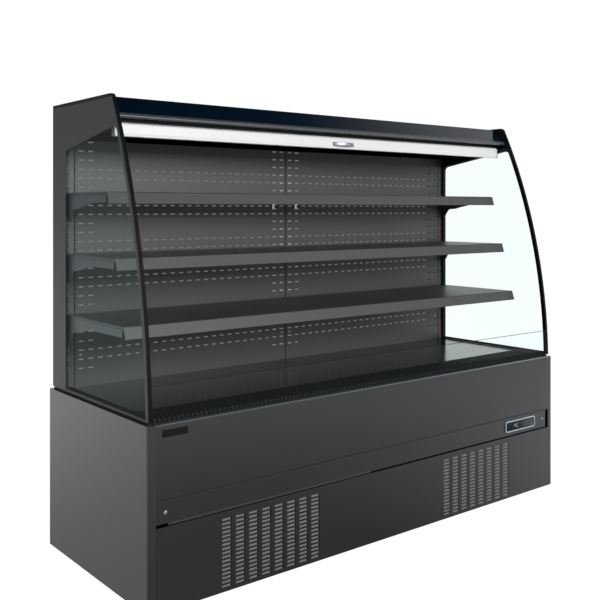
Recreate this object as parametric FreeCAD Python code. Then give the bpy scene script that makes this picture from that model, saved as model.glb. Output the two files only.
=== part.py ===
import FreeCAD, Part
import math
import os

from FreeCAD import Placement, Rotation, Vector

# Open multideck display fridge. Millimetres, +Z up, customer side towards -Y.
# Origin: on the floor, under the middle of the base.
os.makedirs("parts", exist_ok=True)

# ---------------------------------------------------------------- overall
WIDTH = 1915.0            # over the base side panels
DEPTH = 695.0             # base, front panel to rear panel
HEIGHT = 1520.0           # top of the side frames
BASE_TOP = 543.0          # top of the base cabinet
TOE_GAP = 4.0             # floor to the lower edge of the base sheets
SHEET = 1.5               # painted steel sheet

# ---------------------------------------------------------------- base cabinet
RETURN = 26.5             # folded return of each side panel round to the front
CORNER_R = 9.0            # outer radius of that fold
FIT = 1.0                 # gap between a loose panel and its neighbour
FRONT_SEAM = 325.0        # lower edge of the plain front panel
STRIP_SEAM = 1.5          # gap between front panel and control strip
STRIP_BOTTOM = 253.5      # lower edge of the control strip
STRIP_NOTCH = 19.5        # dark notch at the strip's right end
GRIP_GAP = 6.0            # shadow gap over the lower panel
GRIP_END_X = -82.0        # finger grip under the strip, from its left end to here
GRIP_H = 4.0
FOLD = 12.0               # inward folds of the front sheets
RIM_FLANGE = 7.5          # top fold of the front panel

GRILLE_COLS = 8
GRILLE_ROWS = 17
GRILLE_PITCH_X = 49.8
GRILLE_PITCH_Z = 12.6
GRILLE_SLOT_W = 35.0
GRILLE_SLOT_H = 7.0
GRILLE_BOTTOM = 21.0      # centre of the lowest row
GRILLE_CENTRES = (-512.5, 477.5)

LOUVRES = 5               # warm-air slots of the rear panel, per group
LOUVRE_X = 520.0
LOUVRE_BOTTOM = 60.0
LOUVRE_PITCH = 30.0
LOUVRE_W = 320.0
LOUVRE_H = 9.0

# ---------------------------------------------------------------- base frame and feet
PAN_T = 2.0               # floor pan between the rails
RAIL_BOTTOM = 12.0
RAIL_H = 25.0
RAIL_W = 40.0
RAIL_INSET = 22.5         # rail to the front and rear faces
POST = 30.0
FOOT_PAD_R = 20.0
FOOT_PAD_H = 9.0
FOOT_SIDES = 6          # spanner hexagon
FOOT_STUD_R = 5.0
FOOT_STUD_L = 26.0
FOOT_HOLE_CLEAR = 0.4
FOOT_INSET_X = 110.0

# ---------------------------------------------------------------- insulated tank
TANK_BOTTOM = 250.0
TANK_FLOOR = 40.0
TANK_FRONT_WALL = 46.0
TANK_REAR_WALL = 61.0
TANK_END_WALL = 51.0
TANK_STEP = 16.0          # tank front set back below the front seam
DRAIN_R = 16.0
DRAIN_WALL = 2.0
DRAIN_X = 120.0
DRAIN_Y = 225.0

# ---------------------------------------------------------------- upper side frames
SIDE_INSET = 9.0          # frame to the outside of the base
SIDE_T = 11.0
SIDE_REAR_INSET = 5.5     # frame to the rear panel
PLINTH_GAP = 8.0          # shadow gap between frame and base
PLINTH_INSET = 3.0
BOW_INSET = 9.5           # front-most point of the bow to the front panel
BOW_LEAN = 232.0          # how far the bow leans back at the top
CURVE_FOOT_Z = 504.0
TOP_CORNER_R = 22.0
TRIM_T = 5.0              # dark strip on the front edge
TRIM_LAP = 36.0           # strip on the top edge, behind the bow
WINDOW_BORDER = 20.0      # bow to window, strip included
WINDOW_REAR_BORDER = 106.0
WINDOW_SILL = 14.0        # base cabinet to the window
WINDOW_TOP_BAND = 161.0   # frame over the window's rear corner
WINDOW_SLOPE = 0.164      # rise of the window's top edge towards the front
WINDOW_R = 22.0
GLASS_T = 6.0
GLASS_REBATE = 4.0

# ---------------------------------------------------------------- rear wall, roof, canopy
ROOF_DROP = 5.5           # roof below the top of the side frames
ROOF_T = 39.5
REAR_WALL_T = 55.0
REAR_DUCT = 37.0          # air duct between the rear wall and the back panels
BACK_T = 1.2
BACK_EDGE_GAP = 28.5      # back panel to the side frame
BACK_SEAM = 1.5
CEILING_DUCT = 50.0       # air duct between the roof and the ceiling
FASCIA_BEND = 50.0        # top of the bow to the bend between lap and slope
NOSE_PROUD = 13.0         # nose in front of the bow's top
NOSE_DROP = 69.0          # nose below the top of the side frames
NOSE_H = 12.0             # height of the rounded nose
FASCIA_LAP = 26.0         # fascia sheet on top of the roof

SLOT_PITCH_X = 36.06      # slots of the back panels
SLOT_PITCH_Z = 31.05
SLOT_FIRST_X = 21.4
SLOT_FIRST_Z = 617.0
SLOT_W = 18.0
SLOT_H = 3.6
LADDER_COL = 1            # slot column over each middle bracket, counted from the seam
POST_SLOT_W = 5.0         # ladder slots of the end uprights
POST_SLOT_H = 12.0
UPRIGHT_T = 2.0
UPRIGHT_LAP = 12.0        # end upright behind the back panel
UPRIGHT_MARGIN = 18.0     # middle upright beyond its slots

# ---------------------------------------------------------------- shelves
SHELF_TOPS = (1218.0, 1011.5, 806.0)
SHELF_FRONTS = (-50.0, -105.0, -160.0)
LIP_H = 37.5
LIP_LEAN = 11.5
LIP_RETURN = 10.0
SHELF_REAR_GAP = 7.0
SHELF_REAR_FOLD = 15.0
SHELF_END_FOLD = 12.0
SHELF_END_GAP = 1.0
BRACKET_T = 2.5
BRACKET_FRONT_H = 34.0
BRACKET_HEEL_H = 56.0
BRACKET_LEG_H = 97.0
BRACKET_SETBACK = 14.0
MIDDLE_LEG_H = 55.0       # short leg of the middle brackets
MIDDLE_LEG_D = 20.0
HOOK_H = 3.0
HOOK_REACH = 5.0
HOOK_COUNT = 2
HOOK_DROP = 16.0          # shelf top to the top of the bracket's rear leg

# ---------------------------------------------------------------- deck, air return, front glass
DECK_TOP = 554.0
DECK_D = 305.0            # front to rear of the deck trays
DECK_GAP = 1.0
DECK_FOOT_IN = 20.0       # feet of the deck sheets from their ends
LEDGE = 15.0
GRID_BACK = 10.0          # front glass to the ribbed grid
GRID_D = 120.0
GRID_CROWN = 8.0          # rise of the ribbed grid over the deck
GRID_CHAMFER = 22.0
GRID_GAP = 2.0
GRID_T = 2.0
GRID_PITCH = 20.0
GRID_SLOT = 10.0
SCREEN_H = 109.0
SCREEN_T = 6.0

# ---------------------------------------------------------------- night blind
BAR_GAP = 7.5             # bar to each side frame
BAR_BACK = 5.0            # cassette front to the bar's face
BAR_D = 18.0
BAR_H = 41.0
BAR_WALL = 1.5
CASSETTE_GAP = 3.0
CASSETTE_H = 41.0
CASSETTE_BACK = 16.0      # top of the bow to the cassette
CASSETTE_D = 44.0
CASSETTE_LIPS = (5.0, 14.0)   # front and rear lips beside the slot
ROLLER_R = 11.5
ROLL_R = 15.0             # roller with the fabric wound on it
FABRIC_T = 0.35
FABRIC_END = 12.0         # cloth short of the bar at each end
STUB_R = 4.0
STUB_CLEAR = 0.05
HANDLE_W = 124.0
HANDLE_H = 16.0
HANDLE_REACH = 19.0
HANDLE_T = 3.5
HANDLE_LOW = 3.0          # handle below the middle of the bar

# ---------------------------------------------------------------- lamp and air outlet
LAMP_GAP = 2.0
LAMP_D = 18.0
LAMP_H = 17.0
LAMP_LIFT = 1.0
LAMP_BEVEL = (5.0, 6.0)
HONEYCOMB_D = 60.0
HONEYCOMB_H = 20.0
HONEYCOMB_CELL = 150.0
HONEYCOMB_WALL = 4.0

# ---------------------------------------------------------------- cooling machinery
FAN_PLATE_Y = -120.0
EVAP_FAN_R = 100.0
EVAP_FAN_XS = (-420.0, 420.0)
EVAP_FAN_Z = 405.0
CONDENSER_FAN_R = 92.0
CONDENSER_FAN_Z = 136.0
FAN_TIP_CLEAR = 4.0
BLADES = 5
BLADE_T = 2.0
BLADE_PITCH = 28.0
HUB_SIDES = 10
FAN_DEPTH = 26.0
MOTOR_L = 34.0
STRAP_T = 3.0
SHAFT_R = 4.0
SHAFT_CLEAR = 0.05
SHAFT_REACH = 18.0
COIL_END_GAP = 145.0      # coil to the end walls of the well
COIL_FRONT_Y = -35.0
COIL_REAR_Y = 185.0
COIL_BOTTOM = 300.0
COIL_TOP = 500.0
COIL_FINS = 14
COIL_FIN_T = 6.0
COIL_RIM = 8.0            # solid band over and under the fins
END_PLATE_T = 2.0
END_PLATE_LAP = 4.0       # end plates beyond the coil block
HEADER_R = 7.0
EVAP_HUB_R = 30.0
CONDENSER_HUB_R = 28.0
MOTOR_R = 24.0
STRAP_W = 24.0
STRAP_REACH = 14.0        # fan tip to the outside of the stand-offs
FAN_BACK_GAP = 1.0
UNIT_GAP = 4.0            # front rail to the condensing unit
CONDENSER_D = 60.0
CONDENSER_LIFT = 6.0
CONDENSER_H = 194.0
CONDENSER_FINS = 8
SHROUD_W = 380.0
SHROUD_H = 204.0
SHROUD_D = 50.0
SHROUD_T = 2.0
COMPRESSOR_X = 330.0
COMPRESSOR_Y = 60.0
COMPRESSOR_SHELL = ((60.0, 12.0), (74.0, 24.0), (74.0, 118.0), (62.0, 138.0), (35.0, 148.0))
COMPRESSOR_R = COMPRESSOR_SHELL[1][0]
COMPRESSOR_SIDES = 20
COMPRESSOR_PLATE = (190.0, 120.0, 4.0)
COMPRESSOR_PAD = 20.0
COMPRESSOR_PAD_H = 8.0
COMPRESSOR_PAD_IN = (15.0, 15.0)
SUCTION_R = 6.0
DELIVERY_R = 4.0
PIPE_LIFT = 100.0
PIPE_SIDES = 8
SUCTION_RUN = 66.5
DRAIN_END = 40.0          # drain pipe's end over the machine floor
TRAY_W = 230.0
TRAY_D = 145.0
TRAY_H = 70.0
TRAY_WALL = 2.0
TRAY_OFFSET = (-170.0, -95.0)
EBOX_W = 180.0
EBOX_D = 140.0
EBOX_H = 170.0
EBOX_LID = 3.0
EBOX_GAP = 5.0
EBOX_LID_LIFT = 10.0

# ---------------------------------------------------------------- controller
CTRL_FROM_END = 189.0     # controller's centre to the side return
CTRL_Z = 289.5
CTRL_W = 190.0
CTRL_H = 44.0
CTRL_PROUD = 4.0
CTRL_RIM = 4.5
CTRL_CORNER = 7.0
KEY_W = 13.0
KEY_H = 9.0
KEY_CLEAR = 0.4
KEY_PITCH_X = 20.0
KEY_PITCH_Z = 14.0
KEY_FIRST_X = 28.0        # first key column from the controller's centre
KEY_PROUD = 0.6
KEY_TRAVEL = 1.0


# ---------------------------------------------------------------- places that follow from these
HALF_W = WIDTH / 2
FRONT = -DEPTH / 2
REAR = DEPTH / 2
SIDE_OUT = HALF_W - SIDE_INSET
SIDE_IN = SIDE_OUT - SIDE_T
SIDE_REAR = REAR - SIDE_REAR_INSET
RIM_Z = BASE_TOP - SHEET
OPENING_X = HALF_W - RETURN
TANK_X = HALF_W - SHEET
WELL_X = TANK_X - TANK_END_WALL
WELL_FRONT = FRONT + SHEET + TANK_FRONT_WALL
WELL_REAR = REAR - SHEET - TANK_REAR_WALL
MACHINE_FLOOR = RAIL_BOTTOM + RAIL_H
CURVE_FOOT_Y = FRONT + BOW_INSET
CURVE_R = (BOW_LEAN ** 2 + (HEIGHT - CURVE_FOOT_Z) ** 2) / (2 * BOW_LEAN)
BOW_TOP_Y = CURVE_FOOT_Y + BOW_LEAN
TRIM_BACK_Y = BOW_TOP_Y + TRIM_LAP
WINDOW_REAR_Y = SIDE_REAR - WINDOW_REAR_BORDER
WINDOW_BOTTOM = BASE_TOP + WINDOW_SILL
WINDOW_REAR_TOP = HEIGHT - WINDOW_TOP_BAND
ROOF_TOP = HEIGHT - ROOF_DROP
ROOF_BOTTOM = ROOF_TOP - ROOF_T
CEILING_Z = ROOF_BOTTOM - CEILING_DUCT
BACK_Y = SIDE_REAR - REAR_WALL_T - REAR_DUCT
BACK_EDGE_X = SIDE_IN - BACK_EDGE_GAP
FASCIA_TOP_Y = BOW_TOP_Y + FASCIA_BEND
FASCIA_NOSE_Y = BOW_TOP_Y - NOSE_PROUD
FASCIA_NOSE_Z = HEIGHT - NOSE_DROP
CASSETTE_FRONT_Y = BOW_TOP_Y + CASSETTE_BACK
CASSETTE_BOTTOM = ROOF_BOTTOM - CASSETTE_H
BAR_HALF = SIDE_IN - BAR_GAP
BAR_FRONT_Y = CASSETTE_FRONT_Y + BAR_BACK
BAR_BOTTOM = CASSETTE_BOTTOM - CASSETTE_GAP - BAR_H
LAMP_FRONT_Y = CASSETTE_FRONT_Y + CASSETTE_D + LAMP_GAP
LAMP_REAR_Y = LAMP_FRONT_Y + LAMP_D
SCREEN_Y = CURVE_FOOT_Y
GRID_FRONT_Y = SCREEN_Y + SCREEN_T + GRID_BACK
GRID_REAR_Y = GRID_FRONT_Y + GRID_D
DECK_FRONT_Y = GRID_REAR_Y + GRID_GAP
DECK_REAR_Y = DECK_FRONT_Y + DECK_D
COIL_HALF = WELL_X - COIL_END_GAP
CTRL_X = OPENING_X - CTRL_FROM_END


# ================================================================ helpers
def box(x0, x1, y0, y1, z0, z1):
    return Part.makeBox(x1 - x0, y1 - y0, z1 - z0, Vector(x0, y0, z0))


def prism_x(points, x0, x1):
    """Polygon of (y, z) points drawn out from x0 to x1."""
    wire = Part.makePolygon([Vector(x0, y, z) for y, z in points + points[:1]])
    return Part.Face(wire).extrude(Vector(x1 - x0, 0, 0))


def offset_path(points, t):
    """The (y, z) path moved t to its right, with mitred corners."""
    normals = []
    for (y0, z0), (y1, z1) in zip(points, points[1:]):
        run = math.hypot(y1 - y0, z1 - z0)
        normals.append(((z1 - z0) / run, -(y1 - y0) / run))
    moved = []
    for i, (y, z) in enumerate(points):
        a = normals[max(i - 1, 0)]
        b = normals[min(i, len(normals) - 1)]
        scale = t / (1 + a[0] * b[0] + a[1] * b[1])
        moved.append((y + (a[0] + b[0]) * scale, z + (a[1] + b[1]) * scale))
    return moved


def bent_sheet(points, t, x0, x1):
    """Sheet folded along a (y, z) path; its thickness t lies right of the path."""
    return prism_x(points + offset_path(points, t)[::-1], x0, x1)


def cyl(x, y, z, r, length, axis):
    return Part.makeCylinder(r, length, Vector(x, y, z), axis)


def ring(sides, r, centre, axis):
    """Corners of a regular polygon of corner radius r, square to the axis."""
    corners = []
    for i in range(sides):
        angle = 2 * math.pi * (i + 0.5) / sides
        u = r * math.cos(angle)
        v = r * math.sin(angle)
        if axis.x:
            corners.append(centre + Vector(0, u, v))
        elif axis.y:
            corners.append(centre + Vector(v, 0, u))
        else:
            corners.append(centre + Vector(u, v, 0))
    return corners


def flat_face(corners):
    return Part.Face(Part.makePolygon(corners + corners[:1]))


def turned(sides, x, y, z, profile, axis=Vector(0, 0, 1)):
    """Body with flat sides, turned through (radius, distance along the axis) pairs."""
    base = Vector(x, y, z)
    rings = [ring(sides, r, base + axis * along, axis) for r, along in profile]
    faces = [flat_face(rings[0]), flat_face(rings[-1])]
    for low, high in zip(rings, rings[1:]):
        for i in range(sides):
            j = (i + 1) % sides
            faces.append(flat_face([low[i], low[j], high[j], high[i]]))
    solid = Part.Solid(Part.Shell(faces))
    if solid.Volume < 0:
        solid.reverse()
    return solid


def fuse(shapes):
    body = shapes[0]
    if len(shapes) > 1:
        body = body.fuse(shapes[1:])
    return body.removeSplitter()


def save(name, shapes):
    """Write one node; several shapes stay separate solids."""
    solids = [s for shape in shapes for s in shape.Solids]
    shape = solids[0] if len(solids) == 1 else Part.makeCompound(solids)
    if not shape.isValid():
        print("not valid:", name)
    shape.exportStep("parts/%s.step" % name)


def mirror_x(shape):
    return shape.mirror(Vector(0, 0, 0), Vector(1, 0, 0))


def bow_y(z, inset=0.0):
    """Y of the bowed front edge at height z, moved back by an inset."""
    radius = CURVE_R - inset
    return CURVE_FOOT_Y + CURVE_R - math.sqrt(radius ** 2 - (z - CURVE_FOOT_Z) ** 2)


# ================================================================ base cabinet


def rounded_front(block):
    """Block with its upright edges in the front fold of the side panels rounded to fit."""
    edges = [e for e in block.Edges
             if abs(abs(e.BoundBox.XMin) - TANK_X) < 0.01 and e.BoundBox.XLength < 0.01
             and e.BoundBox.ZLength > 1 and e.BoundBox.YMax < FRONT + SHEET + 0.01]
    return block.makeFillet(CORNER_R - SHEET, edges)


def base_side():
    """Right-hand base side: one sheet folded round front, rear and top."""
    outer = box(OPENING_X, HALF_W, FRONT, REAR, TOE_GAP, BASE_TOP)
    edges = [e for e in outer.Edges
             if abs(e.BoundBox.XMin - HALF_W) < 0.01 and e.BoundBox.XLength < 0.01
             and e.BoundBox.ZLength > 1 and e.BoundBox.YMax < 0]
    outer = outer.makeFillet(CORNER_R, edges)
    inner = box(OPENING_X - 1, TANK_X, FRONT + SHEET, REAR - SHEET, TOE_GAP - 1, RIM_Z)
    return outer.cut(rounded_front(inner))


def base_panels():
    side = base_side()
    save("side_panel_right", [side])
    save("side_panel_left", [mirror_x(side)])
    front = bent_sheet([(FRONT + FOLD, FRONT_SEAM), (FRONT, FRONT_SEAM), (FRONT, BASE_TOP),
                        (FRONT + RIM_FLANGE, BASE_TOP)], SHEET, -OPENING_X, OPENING_X)
    save("front_panel", [front])
    top = FRONT_SEAM - STRIP_SEAM
    strip = bent_sheet([(FRONT + FOLD, STRIP_BOTTOM), (FRONT, STRIP_BOTTOM), (FRONT, top),
                        (FRONT + FOLD, top)], SHEET, -OPENING_X, OPENING_X - STRIP_NOTCH)
    cutout = box(CTRL_X - CTRL_W / 2 + CTRL_RIM, CTRL_X + CTRL_W / 2 - CTRL_RIM, FRONT - 1,
                 FRONT + SHEET + 1, CTRL_Z - CTRL_H / 2 + CTRL_RIM, CTRL_Z + CTRL_H / 2 - CTRL_RIM)
    grip = box(-OPENING_X - 1, GRIP_END_X, FRONT - 1, FRONT + FOLD + 1, STRIP_BOTTOM - 1,
               STRIP_BOTTOM + GRIP_H)
    save("control_strip", [strip.cut(cutout).cut(grip)])
    save("lower_panel", [lower_panel()])
    save("rear_base_panel", [rear_base_panel()])


def slot_field(columns, rows, first_x, first_z, pitch_x, pitch_z, w, h, y0, y1):
    """Boxes for a field of slots that go through in Y."""
    field = []
    for i in range(columns):
        for j in range(rows):
            x = first_x + i * pitch_x
            z = first_z + j * pitch_z
            field.append(box(x - w / 2, x + w / 2, y0, y1, z - h / 2, z + h / 2))
    return field


def lower_panel():
    top = STRIP_BOTTOM - GRIP_GAP
    half = OPENING_X - FIT
    sheet = bent_sheet([(FRONT + FOLD, TOE_GAP), (FRONT, TOE_GAP), (FRONT, top),
                        (FRONT + FOLD, top)], SHEET, -half, half)
    slots = []
    for centre in GRILLE_CENTRES:
        first = centre - GRILLE_PITCH_X * (GRILLE_COLS - 1) / 2
        slots += slot_field(GRILLE_COLS, GRILLE_ROWS, first, GRILLE_BOTTOM, GRILLE_PITCH_X,
                            GRILLE_PITCH_Z, GRILLE_SLOT_W, GRILLE_SLOT_H, FRONT - 1, FRONT + SHEET + 1)
    return sheet.cut(Part.makeCompound(slots))


def rear_base_panel():
    panel = box(-OPENING_X, OPENING_X, REAR - SHEET, REAR, TOE_GAP, BASE_TOP)
    louvres = []
    for centre in (-LOUVRE_X, LOUVRE_X):
        louvres += slot_field(1, LOUVRES, centre, LOUVRE_BOTTOM, 0.0, LOUVRE_PITCH, LOUVRE_W, LOUVRE_H,
                              REAR - SHEET - 1, REAR + 1)
    return panel.cut(Part.makeCompound(louvres))


def foot_places():
    places = []
    for x in (-HALF_W + FOOT_INSET_X, HALF_W - FOOT_INSET_X):
        for y in (FRONT + RAIL_INSET + RAIL_W / 2, REAR - RAIL_INSET - RAIL_W / 2):
            places.append((x, y))
    return places


def base_frame():
    """Welded rails, floor pan and corner posts that carry the tank."""
    x1 = TANK_X - 1.0
    y0 = FRONT + RAIL_INSET
    y1 = REAR - RAIL_INSET
    z1 = RAIL_BOTTOM + RAIL_H
    solids = [box(-x1, x1, y0, y0 + RAIL_W, RAIL_BOTTOM, z1),
              box(-x1, x1, y1 - RAIL_W, y1, RAIL_BOTTOM, z1)]
    for x in (-x1, x1 - RAIL_W):
        solids.append(box(x, x + RAIL_W, y0 + RAIL_W, y1 - RAIL_W, RAIL_BOTTOM, z1))
    solids.append(box(-x1, x1, y0 + RAIL_W, y1 - RAIL_W, z1 - PAN_T, z1))
    for x in (-x1, x1 - POST):
        for y in (y0, y1 - POST):
            solids.append(box(x, x + POST, y, y + POST, z1, TANK_BOTTOM))
    frame = fuse(solids)
    r = FOOT_STUD_R + FOOT_HOLE_CLEAR
    holes = [turned(2 * FOOT_SIDES, x, y, RAIL_BOTTOM - 1, [(r, 0), (r, RAIL_H + 2)])
             for x, y in foot_places()]
    save("base_frame", [frame.cut(Part.makeCompound(holes))])


def feet():
    for i, (x, y) in enumerate(foot_places()):
        pad = turned(FOOT_SIDES, x, y, 0, [(FOOT_PAD_R, 0), (FOOT_PAD_R, FOOT_PAD_H * 0.7),
                                           (FOOT_PAD_R * 0.6, FOOT_PAD_H)])
        stud = turned(2 * FOOT_SIDES, x, y, FOOT_PAD_H, [(FOOT_STUD_R, 0), (FOOT_STUD_R, FOOT_STUD_L)])
        save("foot_%d" % (i + 1), [fuse([pad, stud])])


def tank():
    """Well of foamed panels, floor, front, rear and ends, that holds the coil and fans under the deck."""
    y0 = FRONT + SHEET
    y1 = REAR - SHEET
    floor_z = TANK_BOTTOM + TANK_FLOOR
    section = [(y0 + TANK_STEP, TANK_BOTTOM), (y1, TANK_BOTTOM), (y1, RIM_Z), (y0, RIM_Z),
               (y0, FRONT_SEAM + SHEET), (y0 + TANK_STEP, FRONT_SEAM + SHEET)]
    rim = box(-OPENING_X, OPENING_X, FRONT + RIM_FLANGE, y1, RIM_Z, BASE_TOP)
    body = rounded_front(fuse([prism_x(section, -TANK_X, TANK_X), rim]))
    drain = turned(HUB_SIDES, DRAIN_X, DRAIN_Y, TANK_BOTTOM - 1, [(DRAIN_R, 0), (DRAIN_R, TANK_FLOOR + 2)])
    floor = body.common(box(-TANK_X, TANK_X, y0, y1, TANK_BOTTOM, floor_z)).cut(drain)
    front = body.common(box(-TANK_X, TANK_X, y0, WELL_FRONT, floor_z, BASE_TOP))
    rear = body.common(box(-TANK_X, TANK_X, WELL_REAR, y1, floor_z, BASE_TOP))
    end = body.common(box(WELL_X, TANK_X, WELL_FRONT, WELL_REAR, floor_z, BASE_TOP))
    save("insulated_tank", [floor, front, rear, end, mirror_x(end)])


# ================================================================ side frames and glass
def bow_corner(inset, top):
    """Tangent arc between the top edge and the bow: end on the bow, middle, end on top."""
    big = CURVE_R - inset
    r = TOP_CORNER_R - inset if TOP_CORNER_R > inset + 1 else 1.0
    centre_y = CURVE_FOOT_Y + CURVE_R
    cz = top - r
    cy = centre_y - math.sqrt((big - r) ** 2 - (cz - CURVE_FOOT_Z) ** 2)
    dy = (cy - centre_y) / (big - r)
    dz = (cz - CURVE_FOOT_Z) / (big - r)
    on_bow = (cy + dy * r, cz + dz * r)
    mid_y = dy
    mid_z = dz + 1.0
    norm = math.hypot(mid_y, mid_z)
    middle = (cy + mid_y / norm * r, cz + mid_z / norm * r)
    return on_bow, middle, (cy, top)


def side_outline(inset, bottom, rear, top, x0, x1):
    """Solid of the side's outline, its bowed edge and top moved in by an inset."""
    on_bow, middle, on_top = bow_corner(inset, top)
    start = (bow_y(bottom, inset), bottom)
    half_z = (bottom + on_bow[1]) / 2
    halfway = (bow_y(half_z, inset), half_z)

    def at(p):
        return Vector(x0, p[0], p[1])

    edges = [Part.Arc(at(start), at(halfway), at(on_bow)).toShape(),
             Part.Arc(at(on_bow), at(middle), at(on_top)).toShape(),
             Part.makeLine(at(on_top), at((rear, top))),
             Part.makeLine(at((rear, top)), at((rear, bottom))),
             Part.makeLine(at((rear, bottom)), at(start))]
    return Part.Face(Part.Wire(edges)).extrude(Vector(x1 - x0, 0, 0))


def window(grow, x0, x1):
    """Window opening with rounded corners, grown by the glass rebate."""
    bottom = WINDOW_BOTTOM - grow
    rear = WINDOW_REAR_Y + grow
    inset = WINDOW_BORDER - grow
    lift = grow * math.hypot(1, WINDOW_SLOPE)
    front_z = WINDOW_REAR_TOP + lift + WINDOW_SLOPE * (WINDOW_REAR_Y - bow_y(WINDOW_REAR_TOP, inset))
    for _ in range(4):
        front_z = WINDOW_REAR_TOP + lift + WINDOW_SLOPE * (WINDOW_REAR_Y - bow_y(front_z, inset))
    rear_z = WINDOW_REAR_TOP + lift - WINDOW_SLOPE * grow
    half_z = (bottom + front_z) / 2
    a = Vector(x0, bow_y(bottom, inset), bottom)
    b = Vector(x0, bow_y(half_z, inset), half_z)
    c = Vector(x0, bow_y(front_z, inset), front_z)
    d = Vector(x0, rear, rear_z)
    e = Vector(x0, rear, bottom)
    wire = Part.Wire([Part.Arc(a, b, c).toShape(), Part.makeLine(c, d), Part.makeLine(d, e),
                      Part.makeLine(e, a)])
    pane = Part.Face(wire).extrude(Vector(x1 - x0, 0, 0))
    corners = [edge for edge in pane.Edges
               if edge.BoundBox.XLength > abs(x1 - x0) - 0.01 and edge.BoundBox.YLength < 0.01
               and edge.BoundBox.ZMin > half_z]
    return pane.makeFillet(WINDOW_R, corners)


def side_frames():
    bottom = BASE_TOP + PLINTH_GAP
    whole = side_outline(0.0, bottom, SIDE_REAR, HEIGHT, SIDE_IN, SIDE_OUT)
    core = side_outline(TRIM_T, bottom, SIDE_REAR, HEIGHT - TRIM_T, SIDE_IN, SIDE_OUT)
    front_zone = box(SIDE_IN - 1, SIDE_OUT + 1, FRONT - 50, TRIM_BACK_Y, bottom - 1, HEIGHT + 1)
    trim = whole.cut(core).common(front_zone)
    frame = whole.cut(trim)
    plinth = box(SIDE_IN, SIDE_OUT - PLINTH_INSET, bow_y(bottom, TRIM_T) + PLINTH_INSET,
                 SIDE_REAR - PLINTH_INSET, BASE_TOP, bottom)
    frame = fuse([frame, plinth])
    mid = (SIDE_IN + SIDE_OUT) / 2
    pane = window(GLASS_REBATE, mid - GLASS_T / 2, mid + GLASS_T / 2)
    rebate = window(GLASS_REBATE, SIDE_IN - 1, mid + GLASS_T / 2)
    frame = frame.cut(window(0.0, mid, SIDE_OUT + 1)).cut(rebate)
    for name, shape in (("side_frame", frame), ("side_glass", pane)):
        save(name + "_right", [shape])
        save(name + "_left", [mirror_x(shape)])
    save("front_edge_trims", [mirror_x(trim), trim])


# ================================================================ rear wall, roof, canopy
def fascia_path():
    """Outer face of the canopy front: roof lap, slope, rounded nose, underside."""
    top = ROOF_TOP + SHEET
    r = NOSE_H / 2
    nose_y = FASCIA_NOSE_Y + r
    path = [(FASCIA_TOP_Y + FASCIA_LAP, top), (FASCIA_TOP_Y, top)]
    slope = math.atan2(top - FASCIA_NOSE_Z, FASCIA_TOP_Y - nose_y)
    first = math.degrees(slope) + 90.0
    steps = 6
    for i in range(steps + 1):
        angle = math.radians(first + (270.0 - first) * i / steps)
        path.append((nose_y + r * math.cos(angle), FASCIA_NOSE_Z + r * math.sin(angle)))
    path.append((CASSETTE_FRONT_Y - 1.0, FASCIA_NOSE_Z - r))
    return path


def rear_and_roof():
    rear_y0 = SIDE_REAR - REAR_WALL_T
    save("rear_wall", [box(-SIDE_IN, SIDE_IN, rear_y0, SIDE_REAR, BASE_TOP, ROOF_BOTTOM)])
    path = fascia_path()
    inner = offset_path(path, -SHEET)
    a, b = inner[1], inner[2]
    front_low = a[0] + (b[0] - a[0]) * (a[1] - ROOF_BOTTOM) / (a[1] - b[1])
    roof = prism_x([(SIDE_REAR, ROOF_BOTTOM), (SIDE_REAR, ROOF_TOP), (a[0], ROOF_TOP),
                    (front_low, ROOF_BOTTOM)], -SIDE_IN, SIDE_IN)
    save("roof", [roof])
    save("canopy_fascia", [bent_sheet(path, -SHEET, -SIDE_IN, SIDE_IN)])
    front_y = LAMP_REAR_Y + HONEYCOMB_D
    ceiling = box(-SIDE_IN, SIDE_IN, front_y, BACK_Y, CEILING_Z, CEILING_Z + SHEET)
    save("ceiling_panel", [ceiling])


def air_outlet():
    """Curtain of cells that sends cold air down over the front."""
    body = box(-SIDE_IN, SIDE_IN, LAMP_REAR_Y, LAMP_REAR_Y + HONEYCOMB_D, CEILING_Z,
               CEILING_Z + HONEYCOMB_H)
    count = int((2 * SIDE_IN - HONEYCOMB_WALL) // HONEYCOMB_CELL)
    start = -count * HONEYCOMB_CELL / 2
    cells = []
    for i in range(count):
        x = start + i * HONEYCOMB_CELL
        cells.append(box(x + HONEYCOMB_WALL / 2, x + HONEYCOMB_CELL - HONEYCOMB_WALL / 2,
                         LAMP_REAR_Y + HONEYCOMB_WALL, LAMP_REAR_Y + HONEYCOMB_D - HONEYCOMB_WALL,
                         CEILING_Z - 1, CEILING_Z + HONEYCOMB_H + 1))
    save("air_outlet", [body.cut(Part.makeCompound(cells))])
    low = CEILING_Z + LAMP_LIFT
    lamp = prism_x([(LAMP_FRONT_Y, low + LAMP_H), (LAMP_FRONT_Y, low + LAMP_BEVEL[1]),
                    (LAMP_FRONT_Y + LAMP_BEVEL[0], low), (LAMP_REAR_Y, low),
                    (LAMP_REAR_Y, low + LAMP_H)], -SIDE_IN, SIDE_IN)
    save("lamp", [lamp])


def hook_sills(top):
    """Lower edges of the slots that a bracket under a shelf top hooks into."""
    highest = int((top - HOOK_DROP - HOOK_H - SLOT_FIRST_Z) // SLOT_PITCH_Z)
    rows = [row for row in range(highest - HOOK_COUNT + 1, highest + 1)]
    return [SLOT_FIRST_Z + row * SLOT_PITCH_Z - SLOT_H / 2 for row in rows]


def ladder(x, w, h):
    """Slots at x for the hooks of every shelf's bracket."""
    slots = []
    for top in SHELF_TOPS:
        for sill in hook_sills(top):
            slots.append(box(x - w / 2, x + w / 2, BACK_Y - 1, BACK_Y + BACK_T + UPRIGHT_T + 1,
                             sill, sill + h))
    return slots


def middle_bracket_x():
    return SLOT_FIRST_X + SLOT_PITCH_X * LADDER_COL


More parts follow.
